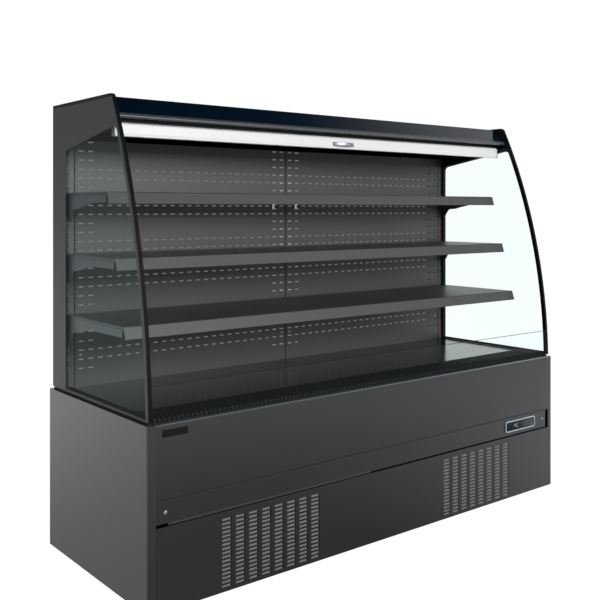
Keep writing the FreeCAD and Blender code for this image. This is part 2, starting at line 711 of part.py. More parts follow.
def end_bracket_x():
    return SIDE_IN - SHELF_END_GAP - SHEET - BRACKET_T / 2 - 0.5


def back_panels():
    panel = box(BACK_SEAM / 2, BACK_EDGE_X, BACK_Y, BACK_Y + BACK_T, DECK_TOP, CEILING_Z)
    panel = panel.cut(Part.makeCompound(ladder(middle_bracket_x(), SLOT_W, SLOT_H)))
    save("back_panel_right", [panel])
    save("back_panel_left", [mirror_x(panel)])
    save("uprights", uprights())


def channel(x0, x1):
    """Upright of hat section, open towards the rear wall."""
    y0 = BACK_Y + BACK_T
    y1 = SIDE_REAR - REAR_WALL_T
    outer = box(x0, x1, y0, y1, BASE_TOP, ROOF_BOTTOM)
    return outer.cut(box(x0 + UPRIGHT_T, x1 - UPRIGHT_T, y0 + UPRIGHT_T, y1 + 1,
                         BASE_TOP - 1, ROOF_BOTTOM + 1))


def uprights():
    edge = BACK_EDGE_X - UPRIGHT_LAP
    end = channel(edge, SIDE_IN).cut(
        Part.makeCompound(ladder(end_bracket_x(), POST_SLOT_W, POST_SLOT_H)))
    x = middle_bracket_x()
    centre = channel(-x - UPRIGHT_MARGIN, x + UPRIGHT_MARGIN).cut(
        Part.makeCompound(ladder(x, SLOT_W, SLOT_H) + ladder(-x, SLOT_W, SLOT_H)))
    return [mirror_x(end), centre, end]


# ================================================================ shelves
def shelf(top, front):
    rear = BACK_Y - SHELF_REAR_GAP
    half = SIDE_IN - SHELF_END_GAP
    low = top - LIP_H
    path = [(front - LIP_LEAN + LIP_RETURN, low), (front - LIP_LEAN, low), (front, top),
            (rear, top), (rear, top - SHELF_REAR_FOLD)]
    tray = bent_sheet(path, SHEET, -half, half)
    end = prism_x([(front + SHEET, top - SHEET), (front - 2.0, top - SHELF_END_FOLD),
                   (rear - SHEET, top - SHELF_END_FOLD), (rear - SHEET, top - SHEET)],
                  half - SHEET, half)
    return fuse([tray, end, mirror_x(end)])


def bracket(top, front, x):
    """Side plate under a shelf, with hooks that enter the ladder slots."""
    z = top - SHEET
    y0 = front + BRACKET_SETBACK
    rear = BACK_Y
    back = rear - SHELF_REAR_GAP - SHEET - 2.0
    low = top - BRACKET_FRONT_H
    if abs(x) > middle_bracket_x():
        under = [(70.0, low - 1.0), (125.0, low - 11.0), (rear - 90.0, top - BRACKET_HEEL_H + 3.0),
                 (rear - 50.0, top - BRACKET_HEEL_H), (rear - 40.0, top - BRACKET_HEEL_H - 10.0),
                 (rear - 18.0, top - BRACKET_LEG_H), (rear, top - BRACKET_LEG_H)]
    else:
        under = [(rear - MIDDLE_LEG_D, low), (rear - MIDDLE_LEG_D, top - MIDDLE_LEG_H),
                 (rear, top - MIDDLE_LEG_H)]
    outline = [(y0, z), (y0, low)] + under + [(rear, top - HOOK_DROP), (back, top - HOOK_DROP), (back, z)]
    parts = [prism_x(outline, x - BRACKET_T / 2, x + BRACKET_T / 2)]
    foot = min(height for _, height in outline)
    for sill in [sill for sill in hook_sills(top) if sill > foot]:
        parts.append(box(x - BRACKET_T / 2, x + BRACKET_T / 2, rear, rear + HOOK_REACH,
                         sill, sill + HOOK_H))
    return fuse(parts)


def shelves():
    brackets = []
    xs = (-end_bracket_x(), -middle_bracket_x(), middle_bracket_x(), end_bracket_x())
    for i, (top, front) in enumerate(zip(SHELF_TOPS, SHELF_FRONTS)):
        save("shelf_%d" % (i + 1), [shelf(top, front)])
        brackets += [bracket(top, front, x) for x in xs]
    save("shelf_brackets", brackets)


# ================================================================ deck and air return
def deck():
    under = DECK_TOP - SHEET
    half = SIDE_IN - SHELF_END_GAP
    foot_x = half - DECK_FOOT_IN
    tray = fuse([box(DECK_GAP / 2, half, DECK_FRONT_Y, DECK_REAR_Y - DECK_GAP, under, DECK_TOP),
                 box(foot_x, foot_x + SHEET, DECK_FRONT_Y, DECK_REAR_Y - LEDGE - DECK_GAP, BASE_TOP, under)])
    save("deck_tray_right", [tray])
    save("deck_tray_left", [mirror_x(tray)])
    cover = bent_sheet([(DECK_REAR_Y - LEDGE, under), (DECK_REAR_Y + SHEET, under),
                        (DECK_REAR_Y + SHEET, DECK_TOP), (BACK_Y + BACK_T, DECK_TOP)],
                       SHEET, -half, half)
    foot = box(foot_x, foot_x + SHEET, DECK_REAR_Y + SHEET, BACK_Y - SHELF_REAR_GAP, BASE_TOP, under)
    save("duct_cover", [fuse([cover, foot, mirror_x(foot)])])


def air_return():
    """Ribbed air-return grid between the deck and the front glass."""
    half = SIDE_IN - SHELF_END_GAP
    y1 = GRID_REAR_Y
    top = DECK_TOP + GRID_CROWN
    path = [(GRID_FRONT_Y, BASE_TOP), (GRID_FRONT_Y, DECK_TOP), (GRID_FRONT_Y + GRID_CHAMFER, top),
            (y1 - GRID_CHAMFER, top), (y1, DECK_TOP), (y1, DECK_TOP - LEDGE / 2)]
    grid = bent_sheet(path, GRID_T, -half, half)
    foot = box(half - GRID_T, half, GRID_FRONT_Y + GRID_T, y1 - GRID_T, BASE_TOP, DECK_TOP - 1.0)
    grid = fuse([grid, foot, mirror_x(foot)])
    count = int((2 * half - GRID_PITCH) // GRID_PITCH)
    slots = []
    for i in range(count):
        x = (i - (count - 1) / 2) * GRID_PITCH
        slots.append(box(x - GRID_SLOT / 2, x + GRID_SLOT / 2, GRID_FRONT_Y + GRID_CHAMFER + 4.0,
                         y1 - GRID_CHAMFER - 4.0, top - GRID_T - 1, top + 1))
    save("air_return_grid", [grid.cut(Part.makeCompound(slots))])
    screen = box(-SIDE_IN, SIDE_IN, SCREEN_Y, SCREEN_Y + SCREEN_T, BASE_TOP, BASE_TOP + SCREEN_H)
    save("front_glass", [screen])


# ================================================================ night blind
def blind():
    top = BAR_BOTTOM + BAR_H
    bar = box(-BAR_HALF, BAR_HALF, BAR_FRONT_Y, BAR_FRONT_Y + BAR_D, BAR_BOTTOM, top)
    bar = bar.cut(box(-BAR_HALF + BAR_WALL, BAR_HALF - BAR_WALL, BAR_FRONT_Y + BAR_WALL,
                      BAR_FRONT_Y + BAR_D - BAR_WALL, BAR_BOTTOM + BAR_WALL, top - BAR_WALL))
    save("blind_bar", [bar])
    save("blind_handle", [handle()])
    z0 = CASSETTE_BOTTOM
    z1 = ROOF_BOTTOM
    y0 = CASSETTE_FRONT_Y
    y1 = y0 + CASSETTE_D
    half = SIDE_IN
    case = bent_sheet([(y0 + CASSETTE_LIPS[0], z0), (y0, z0), (y0, z1), (y1, z1), (y1, z0),
                       (y1 - CASSETTE_LIPS[1], z0)], SHEET, -half, half)
    axis_y = (y0 + y1) / 2
    axis_z = (z0 + z1) / 2
    hole = cyl(-half - 1, axis_y, axis_z, STUB_R + STUB_CLEAR, 2 * half + 2, Vector(1, 0, 0))
    ends = [box(x, x + 4.0, y0 + SHEET, y1 - SHEET, z0, z1 - SHEET) for x in (-half, half - 4.0)]
    save("blind_cassette", [fuse([case] + ends).cut(hole)])
    length = 2 * (half - 6.0)
    roller = turned(16, -length / 2, axis_y, axis_z, [(ROLLER_R, 0), (ROLLER_R, length)], Vector(1, 0, 0))
    stub = cyl(-half + 0.5, axis_y, axis_z, STUB_R, 2 * half - 1, Vector(1, 0, 0))
    save("blind_roller", [fuse([roller, stub])])
    cloth_half = BAR_HALF - FABRIC_END
    roll = cyl(-cloth_half, axis_y, axis_z, ROLL_R, 2 * cloth_half, Vector(1, 0, 0))
    roll = roll.cut(cyl(-cloth_half - 1, axis_y, axis_z, ROLLER_R + 0.3, 2 * cloth_half + 2, Vector(1, 0, 0)))
    drop_y = axis_y - ROLL_R + FABRIC_T / 2
    drop = box(-cloth_half, cloth_half, drop_y - FABRIC_T / 2, drop_y + FABRIC_T / 2, top, axis_z)
    save("blind_fabric", [fuse([roll, drop])])


def handle():
    """Bowed pull on the middle of the bar, with a finger gap behind it."""
    z = BAR_BOTTOM + BAR_H / 2 - HANDLE_LOW
    half = HANDLE_W / 2
    front = BAR_FRONT_Y
    outer = [Vector(-half, front, z), Vector(0, front - HANDLE_REACH, z), Vector(half, front, z)]
    inner = [Vector(-half + 10.0, front, z), Vector(0, front - HANDLE_REACH + HANDLE_T, z),
             Vector(half - 10.0, front, z)]
    wire = Part.Wire([Part.Arc(*outer).toShape(), Part.makeLine(outer[2], inner[2]),
                      Part.Arc(*inner).toShape(), Part.makeLine(inner[0], outer[0])])
    strap = Part.Face(wire).extrude(Vector(0, 0, HANDLE_H))
    strap.translate(Vector(0, 0, -HANDLE_H / 2))
    return strap


# ================================================================ cooling machinery
def fan(radius, hub_r, depth):
    """Axial fan about +Y, centred at the origin: hub, and blades folded along the middle."""
    along = Vector(0, 1, 0)
    hub = [(hub_r, 0), (hub_r, depth * 0.8), (hub_r * 0.7, depth)]
    solids = [turned(HUB_SIDES, 0, -depth / 2, 0, hub, along)]
    chord = radius * 0.62
    camber = chord * 0.1
    half = BLADE_T / 2
    for i in range(BLADES):
        spine = [(-camber, -chord / 2), (camber, 0.0), (-camber, chord / 2)]
        section = [(y - half, z) for y, z in spine] + [(y + half, z) for y, z in spine[::-1]]
        blade = prism_x(section, hub_r - 4.0, radius - 6.0)
        blade.rotate(Vector(0, 0, 0), Vector(1, 0, 0), BLADE_PITCH)
        blade.rotate(Vector(0, 0, 0), along, 360.0 / BLADES * i)
        solids.append(blade)
    bore = cyl(0, depth / 2 - SHAFT_REACH, 0, SHAFT_R + SHAFT_CLEAR, SHAFT_REACH + 1, along)
    return fuse(solids).cut(bore)


def fan_motor(x, y, z, ring_r, y_back):
    """Motor can behind a fan, on a strap with two stand-offs back to the plate at y_back."""
    y1 = y + MOTOR_L
    half = STRAP_W / 2
    shapes = [turned(HUB_SIDES, x, y, z, [(MOTOR_R, 0), (MOTOR_R, MOTOR_L)], Vector(0, 1, 0)),
              cyl(x, y - SHAFT_REACH, z, SHAFT_R, SHAFT_REACH + 1, Vector(0, 1, 0)),
              box(x - ring_r, x + ring_r, y1, y1 + STRAP_T, z - half, z + half)]
    for side in (-1, 1):
        edge = x + side * (ring_r - STRAP_T / 2)
        shapes.append(box(edge - STRAP_T / 2, edge + STRAP_T / 2, y_back, y1, z - half, z + half))
    return shapes


def evaporator():
    floor = TANK_BOTTOM + TANK_FLOOR
    under = DECK_TOP - SHEET
    y = FAN_PLATE_Y
    plate = box(-WELL_X, WELL_X, y, y + SHEET, floor, under)
    top = box(-WELL_X, WELL_X, y + SHEET, y + 22.0, under - SHEET, under)
    rib = box(-15.0, 15.0, y + SHEET, DECK_REAR_Y - LEDGE, under - 12.0, under)
    throat = [cyl(x, y - 1, EVAP_FAN_Z, EVAP_FAN_R + FAN_TIP_CLEAR, SHEET + 2, Vector(0, 1, 0))
              for x in EVAP_FAN_XS]
    plate = fuse([plate, top, rib]).cut(Part.makeCompound(throat))
    motors = []
    for i, x in enumerate(EVAP_FAN_XS):
        wheel = fan(EVAP_FAN_R, EVAP_HUB_R, FAN_DEPTH)
        wheel.translate(Vector(x, y + SHEET / 2, EVAP_FAN_Z))
        save("evaporator_fan_%d" % (i + 1), [wheel])
        motors += fan_motor(x, y + SHEET / 2 + FAN_DEPTH / 2 + FAN_BACK_GAP, EVAP_FAN_Z,
                            EVAP_FAN_R + STRAP_REACH, y + SHEET)
    save("evaporator_fan_plate", [fuse([plate] + motors)])
    save("evaporator", [coil(-COIL_HALF, COIL_HALF, COIL_FRONT_Y, COIL_REAR_Y, COIL_BOTTOM, COIL_TOP,
                             floor, COIL_FINS)])


def coil(x0, x1, y0, y1, z0, z1, floor, fins):
    """Coil block with fins along its front, end plates down to the floor and a header tube."""
    pitch = (x1 - x0) / fins
    core = box(x0, x1, y0, y1, z0, z1)
    gaps = [box(x0 + i * pitch + COIL_FIN_T, x0 + (i + 1) * pitch, y0 - 1, y1 + 1,
                z0 + COIL_RIM, z1 - COIL_RIM) for i in range(fins)]
    core = core.cut(Part.makeCompound(gaps))
    lap = END_PLATE_LAP
    plates = [box(x, x + END_PLATE_T, y0 - lap, y1 + lap, floor, z1 + lap)
              for x in (x0 - END_PLATE_T, x1)]
    header_x = x1 + END_PLATE_T + HEADER_R
    middle = (y0 + y1) / 2
    header = turned(PIPE_SIDES, header_x, middle, z0 + COIL_RIM,
                    [(HEADER_R, 0), (HEADER_R, z1 - z0 - 2 * COIL_RIM)])
    stay = box(x1, header_x, middle - HEADER_R / 2, middle + HEADER_R / 2,
               z1 - 3 * COIL_RIM, z1 - 2 * COIL_RIM)
    return fuse([core] + plates + [header, stay])


def condensing_unit():
    floor = MACHINE_FLOOR
    x = GRILLE_CENTRES[0]
    half = SHROUD_W / 2
    core = half - END_PLATE_T
    y0 = FRONT + RAIL_INSET + RAIL_W + UNIT_GAP
    y1 = y0 + CONDENSER_D
    y2 = y1 + SHROUD_D
    save("condenser", [coil(x - core, x + core, y0 + END_PLATE_LAP, y1 - END_PLATE_LAP,
                            floor + CONDENSER_LIFT, floor + CONDENSER_LIFT + CONDENSER_H, floor,
                            CONDENSER_FINS)])
    shroud = box(x - half, x + half, y1, y2, floor, floor + SHROUD_H)
    shroud = shroud.cut(box(x - half + SHROUD_T, x + half - SHROUD_T, y1 - 1, y2 - SHROUD_T,
                            floor + SHROUD_T, floor + SHROUD_H - SHROUD_T))
    throat = cyl(x, y2 - 2 * SHROUD_T, CONDENSER_FAN_Z, CONDENSER_FAN_R + FAN_TIP_CLEAR,
                 4 * SHROUD_T, Vector(0, 1, 0))
    y_fan = y2 - SHROUD_T / 2
    motor = fan_motor(x, y_fan + FAN_DEPTH / 2 + FAN_BACK_GAP, CONDENSER_FAN_Z,
                      CONDENSER_FAN_R + STRAP_REACH, y2)
    save("condenser_shroud", [fuse([shroud.cut(throat)] + motor)])
    wheel = fan(CONDENSER_FAN_R, CONDENSER_HUB_R, FAN_DEPTH)
    wheel.translate(Vector(x, y_fan, CONDENSER_FAN_Z))
    save("condenser_fan", [wheel])
    compressor()
    pipes()
    drain_and_tray()
    electrical_box()


def compressor():
    x, y = COMPRESSOR_X, COMPRESSOR_Y
    w, d, t = COMPRESSOR_PLATE
    low = MACHINE_FLOOR + COMPRESSOR_PAD_H
    parts = [box(x - w / 2, x + w / 2, y - d / 2, y + d / 2, low, low + t)]
    half = COMPRESSOR_PAD / 2
    for pad_x in (x - w / 2 + COMPRESSOR_PAD_IN[0], x + w / 2 - COMPRESSOR_PAD_IN[0]):
        for pad_y in (y - d / 2 + COMPRESSOR_PAD_IN[1], y + d / 2 - COMPRESSOR_PAD_IN[1]):
            parts.append(box(pad_x - half, pad_x + half, pad_y - half, pad_y + half,
                             MACHINE_FLOOR, low))
    parts.append(turned(COMPRESSOR_SIDES, x, y, MACHINE_FLOOR, COMPRESSOR_SHELL))
    save("compressor", [fuse(parts)])


def pipe(points, r):
    """Pipe of radius r along straight runs that meet in mitred elbows."""
    run = points[1] - points[0]
    axis = Vector(abs(run.x), abs(run.y), abs(run.z)).normalize()
    corners = ring(PIPE_SIDES, r, points[0], axis)
    section = Part.makePolygon(corners + corners[:1])
    return Part.makePolygon(points).makePipeShell([section], True, False, 1)


def pipes():
    """Suction pipe up to the tank, delivery pipe to the condenser's header."""
    x, y = COMPRESSOR_X, COMPRESSOR_Y
    z = MACHINE_FLOOR + PIPE_LIFT
    shell = COMPRESSOR_R - 0.5
    up_x = x - shell - SUCTION_RUN
    suction = [Vector(x - shell, y, z), Vector(up_x, y, z), Vector(up_x, y, TANK_BOTTOM)]
    header_x = GRILLE_CENTRES[0] + SHROUD_W / 2 + HEADER_R * (1 + math.cos(math.pi / PIPE_SIDES))
    header_y = FRONT + RAIL_INSET + RAIL_W + UNIT_GAP + CONDENSER_D / 2
    delivery = [Vector(x, y - shell, z), Vector(x, header_y, z), Vector(header_x, header_y, z)]
    save("refrigerant_pipes", [pipe(suction, SUCTION_R), pipe(delivery, DELIVERY_R)])


def drain_and_tray():
    low = MACHINE_FLOOR + DRAIN_END
    length = TANK_BOTTOM + TANK_FLOOR - low
    bore = DRAIN_R - DRAIN_WALL
    drain = turned(HUB_SIDES, DRAIN_X, DRAIN_Y, low, [(DRAIN_R, 0), (DRAIN_R, length)])
    save("drain_pipe", [drain.cut(turned(HUB_SIDES, DRAIN_X, DRAIN_Y, low,
                                         [(bore, -1), (bore, length + 1)]))])
    x0 = DRAIN_X + TRAY_OFFSET[0]
    y0 = DRAIN_Y + TRAY_OFFSET[1]
    tray = box(x0, x0 + TRAY_W, y0, y0 + TRAY_D, MACHINE_FLOOR, MACHINE_FLOOR + TRAY_H)
    inside = box(x0 + TRAY_WALL, x0 + TRAY_W - TRAY_WALL, y0 + TRAY_WALL, y0 + TRAY_D - TRAY_WALL,
                 MACHINE_FLOOR + TRAY_WALL, MACHINE_FLOOR + TRAY_H + 1)
    save("evaporation_tray", [tray.cut(inside)])


def electrical_box():
    y0 = FRONT + RAIL_INSET + RAIL_W + EBOX_GAP
    x0 = CTRL_X - EBOX_W / 2
    floor = MACHINE_FLOOR
    case = box(x0, x0 + EBOX_W, y0, y0 + EBOX_D, floor, floor + EBOX_H)
    lid = box(x0 - EBOX_LID, x0 + EBOX_W + EBOX_LID, y0 - EBOX_LID, y0,
              floor + EBOX_LID_LIFT, floor + EBOX_H + EBOX_LID)
    save("electrical_box", [fuse([case, lid])])


# ================================================================ controller
def rounded_plate(w, h, r, y0, y1):
    plate = box(CTRL_X - w / 2, CTRL_X + w / 2, y0, y1, CTRL_Z - h / 2, CTRL_Z + h / 2)
    edges = [e for e in plate.Edges if e.BoundBox.YLength > abs(y1 - y0) - 0.01
             and e.BoundBox.XLength < 0.01 and e.BoundBox.ZLength < 0.01]
    return plate.makeFillet(r, edges)


def key_places():
    return [(CTRL_X + KEY_FIRST_X + i * KEY_PITCH_X, CTRL_Z + (0.5 - j) * KEY_PITCH_Z)
            for j in range(2) for i in range(3)]


def controller():
    y0 = FRONT - CTRL_PROUD
    pocket = y0 + 1.0
    glass = pocket + 2.0
    well = glass + 0.8 + KEY_TRAVEL
    rim = rounded_plate(CTRL_W, CTRL_H, CTRL_CORNER, y0, FRONT)
    inner_w = CTRL_W - 2 * CTRL_RIM
    inner_h = CTRL_H - 2 * CTRL_RIM
    can = box(CTRL_X - inner_w / 2 + 0.5, CTRL_X + inner_w / 2 - 0.5, FRONT, FRONT + FOLD + 2.0,
              CTRL_Z - inner_h / 2 + 0.5, CTRL_Z + inner_h / 2 - 0.5)
    face = rounded_plate(inner_w, inner_h, CTRL_CORNER - CTRL_RIM + 1.0, pocket, glass)
    opening = rounded_plate(inner_w, inner_h, CTRL_CORNER - CTRL_RIM + 1.0, y0 - 1, glass)
    wells = []
    for x, z in key_places():
        w = KEY_W / 2 + KEY_CLEAR
        h = KEY_H / 2 + KEY_CLEAR
        wells.append(box(x - w, x + w, y0 - 1, well, z - h, z + h))
    wells = Part.makeCompound(wells)
    save("controller_housing", [fuse([rim, can]).cut(opening).cut(wells)])
    save("controller_face", [face.cut(wells)])
    for i, (x, z) in enumerate(key_places()):
        key = box(x - KEY_W / 2, x + KEY_W / 2, pocket - KEY_PROUD, well - KEY_TRAVEL - 0.2,
                  z - KEY_H / 2, z + KEY_H / 2)
        save("key_%d" % (i + 1), [key])


base_panels()
base_frame()
feet()
tank()
side_frames()
rear_and_roof()
air_outlet()
back_panels()
shelves()
deck()
air_return()
blind()
evaporator()
condensing_unit()
controller()
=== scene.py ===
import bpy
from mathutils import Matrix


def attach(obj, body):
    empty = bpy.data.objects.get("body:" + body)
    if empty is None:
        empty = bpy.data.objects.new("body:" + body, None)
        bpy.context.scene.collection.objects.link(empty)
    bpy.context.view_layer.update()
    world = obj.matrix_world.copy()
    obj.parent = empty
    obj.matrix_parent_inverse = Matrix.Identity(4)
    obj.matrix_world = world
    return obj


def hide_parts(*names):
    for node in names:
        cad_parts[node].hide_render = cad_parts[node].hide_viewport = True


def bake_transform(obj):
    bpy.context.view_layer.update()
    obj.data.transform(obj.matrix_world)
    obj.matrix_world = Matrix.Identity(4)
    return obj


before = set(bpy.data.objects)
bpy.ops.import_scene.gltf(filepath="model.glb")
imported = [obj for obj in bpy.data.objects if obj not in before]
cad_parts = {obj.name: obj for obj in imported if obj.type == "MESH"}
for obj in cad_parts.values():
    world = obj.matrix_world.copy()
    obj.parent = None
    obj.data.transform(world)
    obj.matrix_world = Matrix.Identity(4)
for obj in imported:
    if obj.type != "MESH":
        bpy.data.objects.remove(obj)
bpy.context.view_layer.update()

import math

import bpy
from mathutils import Vector

MM = 0.001

# Looks of an open multideck display fridge. Real sizes are written in millimetres
# and turned into metres by MM; -Y is the customer's side.
HALF_INSIDE = 937.5       # between the side frames
SIDE_OUT = 948.5          # outer face of the side frames
SIDE_REAR = 342.0
SIDE_FOOT = 551.0
HEIGHT = 1520.0
EDGE_LINE = 11.0          # dark line along the top and rear edges of a side frame
BACK_Y = 250.0            # front of the slotted back panels
BACK_SHEET = 1.2
LINER_Y = 290.0           # the rear wall's pale liner lies in front of this
DARK_SLOTS_X = 868.0      # the slots to the right of this get no painted glow behind them, as painted shade
DECK_TOP = 554.0
BASE_TOP = 543.0
FRONT = -347.5
FRONT_SHEET = 1.5
CTRL = (742.0, 289.5)     # middle of the controller
SHELVES = ((1218.0, -50.0), (1011.5, -105.0), (806.0, -160.0))      # top and front edge


# ---------------------------------------------------------------- camera, lights, stage
def place_camera():
    data = bpy.data.cameras.new("camera")
    data.sensor_width = 36.0
    data.lens = 51.91
    data.shift_y = -0.1513
    camera = bpy.data.objects.new("camera", data)
    camera.location = (-2.1556, -2.5342, 1.1627)
    camera.rotation_euler = (math.radians(90.0), 0.0, math.radians(-38.7))
    bpy.context.scene.collection.objects.link(camera)
    bpy.context.scene.camera = camera


def softbox(name, place, aim, width, height, watts):
    data = bpy.data.lights.new(name, "AREA")
    data.shape = "RECTANGLE"
    data.size = width
    data.size_y = height
    data.energy = watts
    lamp = bpy.data.objects.new(name, data)
    lamp.location = place
    lamp.rotation_mode = "QUATERNION"
    lamp.rotation_quaternion = (Vector(aim) - Vector(place)).to_track_quat("-Z", "Y")
    bpy.context.scene.collection.objects.link(lamp)


def light_studio():
    softbox("softbox_front", (0.9, -5.2, 2.4), (0.0, 0.0, 1.0), 3.6, 1.4, 240)
    softbox("softbox_left", (-4.6, 0.6, 2.6), (-0.9, 0.1, 0.8), 2.6, 2.2, 60)


# ---------------------------------------------------------------- shader maths
class Value:
    """A shader socket, or a plain number, that works in sums and products."""

    def __init__(self, tree, socket):
        self.tree = tree
        self.socket = socket

    def math(self, operation, other=None, swap=False):
        node = self.tree.nodes.new("ShaderNodeMath")
        node.operation = operation
        pair = [self, other] if not swap else [other, self]
        for slot, item in zip(node.inputs, pair):
            if isinstance(item, Value):
                self.tree.links.new(item.socket, slot)
            elif item is not None:
                slot.default_value = item
        return Value(self.tree, node.outputs[0])

    def __add__(self, other):
        return self.math("ADD", other)

    def __radd__(self, other):
        return self.math("ADD", other)

    def __sub__(self, other):
        return self.math("SUBTRACT", other)

    def __rsub__(self, other):
        return self.math("SUBTRACT", other, swap=True)

    def __mul__(self, other):
        return self.math("MULTIPLY", other)

    def __rmul__(self, other):
        return self.math("MULTIPLY", other)

    def __lt__(self, other):
        return self.math("LESS_THAN", other)

    def __gt__(self, other):
        return self.math("GREATER_THAN", other)


class Finish:
    """A node material under construction."""

    def __init__(self, name):
        self.material = bpy.data.materials.new(name)
        self.material.use_nodes = True
        self.tree = self.material.node_tree
        self.tree.nodes.clear()

    def node(self, kind, settings=None, sockets=None, output=0):
        """Any node: its type, its settings, and the values or links of its sockets."""
        node = self.tree.nodes.new("ShaderNode" + kind)
        for key, value in (settings or {}).items():
            if key == "stops":
                ramp = node.color_ramp.elements
                while len(ramp) < len(value):
                    ramp.new(0.5)
                for element, (place, colour) in zip(ramp, value):
                    element.position = place
                    element.color = (*colour, 1.0)
            else:
                setattr(node, key, value)
        for key, value in (sockets or {}).items():
            if isinstance(value, Value):
                self.tree.links.new(value.socket, node.inputs[key])
            else:
                node.inputs[key].default_value = value
        return Value(self.tree, node.outputs[output])

    def place(self, axis=None):
        """Object coordinates, or one of their axes, in metres."""
        here = self.node("TexCoord", output=3)
        if axis is None:
            return here
        return self.node("SeparateXYZ", sockets={0: here}, output="XYZ".index(axis))

    def noise(self, scale, detail=3.0, stretch=None):
        here = self.place()
        if stretch:
            here = self.node("Mapping", sockets={"Vector": here, "Scale": stretch})
        return self.node("TexNoise", sockets={"Vector": here, "Scale": scale, "Detail": detail})

    def blend(self, factor, first, second):
        """Mixes two colours, given as tuples or values."""
        first = first if isinstance(first, Value) else (*first, 1.0)
        second = second if isinstance(second, Value) else (*second, 1.0)
        return self.node("Mix", {"data_type": "RGBA"}, {0: factor, 6: first, 7: second}, output=2)

    def bump(self, height, strength, distance):
        return self.node("Bump", sockets={"Height": height, "Strength": strength, "Distance": distance})

    def done(self, shader):
        out = self.tree.nodes.new("ShaderNodeOutputMaterial")
        self.tree.links.new(shader.socket, out.inputs["Surface"])
        return self.material

    def principled(self, **sockets):
        named = {key.replace("_", " "): value for key, value in sockets.items()}
        for key in ("Base Color", "Emission Color"):
            if isinstance(named.get(key), tuple):
                named[key] = (*named[key], 1.0)
        return self.node("BsdfPrincipled", sockets=named)


# ---------------------------------------------------------------- finishes
def powder_coat(name, colour, roughness=0.42, grain=0.12, sheen_spread=0.05, shine=0.5):
    """Painted sheet: fine orange peel, slow unevenness in tone and gloss."""
    f = Finish(name)
    cloud = f.noise(2.2, 2.0)
    tone = f.blend(cloud, tuple(c * 0.93 for c in colour), tuple(c * 1.07 for c in colour))
    peel = f.noise(900.0, 2.0)
    gloss = cloud * sheen_spread + (roughness - sheen_spread / 2)
    skin = f.bump(peel, grain, 0.0004)
    return f.done(f.principled(Base_Color=tone, Roughness=gloss, Normal=skin, Specular_IOR_Level=shine))


def fold_highlight_coat(name, colour, fold, low):
    """Front coat with a painted highlight: the fold above the height low glows as if it caught the lamp,
    more so towards the right.
    """
    f = Finish(name)
    cloud = f.noise(2.2, 2.0)
    tone = f.blend(cloud, tuple(c * 0.93 for c in colour), tuple(c * 1.07 for c in colour))
    # painted highlight: a pale blue glow on the fold, stronger towards +X
    on_fold = f.place("Z") > low * MM
    painted_glint = on_fold * (f.place("X") * 0.35 + 0.6) * fold
    glow = f.blend(painted_glint, (0.0, 0.0, 0.0), (0.80, 0.95, 1.0))
    return f.done(f.principled(Base_Color=tone, Roughness=cloud * 0.04 + 0.26, Specular_IOR_Level=0.38,
                               Normal=f.bump(f.noise(900.0, 2.0), 0.03, 0.0004), Emission_Color=glow,
                               Emission_Strength=1.0))


def side_coat(name, colour, fold):
    """Side panels: the face painted lighter than the front as painted light from the left, the narrow
    returns at the front painted as dark as the front, as painted shade.
    """
    f = Finish(name)
    cloud = f.noise(2.2, 2.0)
    tone = f.blend(cloud, tuple(c * 0.93 for c in colour), tuple(c * 1.07 for c in colour))
    # painted shade: the front-facing returns take the front's darker colour
    front = f.place("Y") < (FRONT + 3.0) * MM
    return f.done(f.principled(Base_Color=f.blend(front, tone, fold), Roughness=cloud * 0.05 + 0.30,
                               Normal=f.bump(f.noise(900.0, 2.0), 0.04, 0.0004), Specular_IOR_Level=0.45))


def side_frame_coat(name, outer, inner):
    """Steel colour on the outside face, black on the edges and inside; black too in the shadow gap at the
    foot, as painted shade.
    """
    f = Finish(name)
    across = f.node("Math", {"operation": "ABSOLUTE"}, {0: f.place("X")})
    height = f.place("Z")
    face = (across > (SIDE_OUT - 0.3) * MM) * (f.place("Y") < (SIDE_REAR - EDGE_LINE) * MM)
    # painted shade: the foot and the band just above it stay black in the shadow gap
    outside = face * (height < (HEIGHT - EDGE_LINE) * MM) * (height > (SIDE_FOOT + 2.5) * MM)
    cloud = f.noise(2.2, 2.0)
    steel = f.blend(cloud, tuple(c * 0.93 for c in outer), tuple(c * 1.07 for c in outer))
    shine = outside * 0.1 + (cloud * 0.05 + 0.35)
    return f.done(f.principled(Base_Color=f.blend(outside, inner, steel), Roughness=shine,
                               Normal=f.bump(f.noise(900.0, 2.0), 0.12, 0.0004), Specular_IOR_Level=0.22))


def upright_coat(name, steel, pale):
    """Pale where it shows through the slots, with a faint glow there left of DARK_SLOTS_X as painted light;
    painted beside the panels and along the seam.
    """
    f = Finish(name)
    x = f.place("X")
    across = f.node("Math", {"operation": "ABSOLUTE"}, {0: x})
    bare = (across < (PANEL_EDGES[1] + 0.5) * MM) * (across > 8.0 * MM)
    cloud = f.noise(14.0, 3.0)
    zinc = f.blend(cloud, tuple(c * 0.9 for c in pale), tuple(c * 1.1 for c in pale))
    # painted light: a grey glow on the pale face, left out to the right of DARK_SLOTS_X as painted shade
    glow = f.blend(bare * (x < DARK_SLOTS_X * MM), (0.0, 0.0, 0.0), (0.14, 0.14, 0.14))
    return f.done(f.principled(Base_Color=f.blend(bare, steel, zinc), Roughness=cloud * 0.1 + 0.45,
                               Emission_Color=glow, Emission_Strength=1.0))


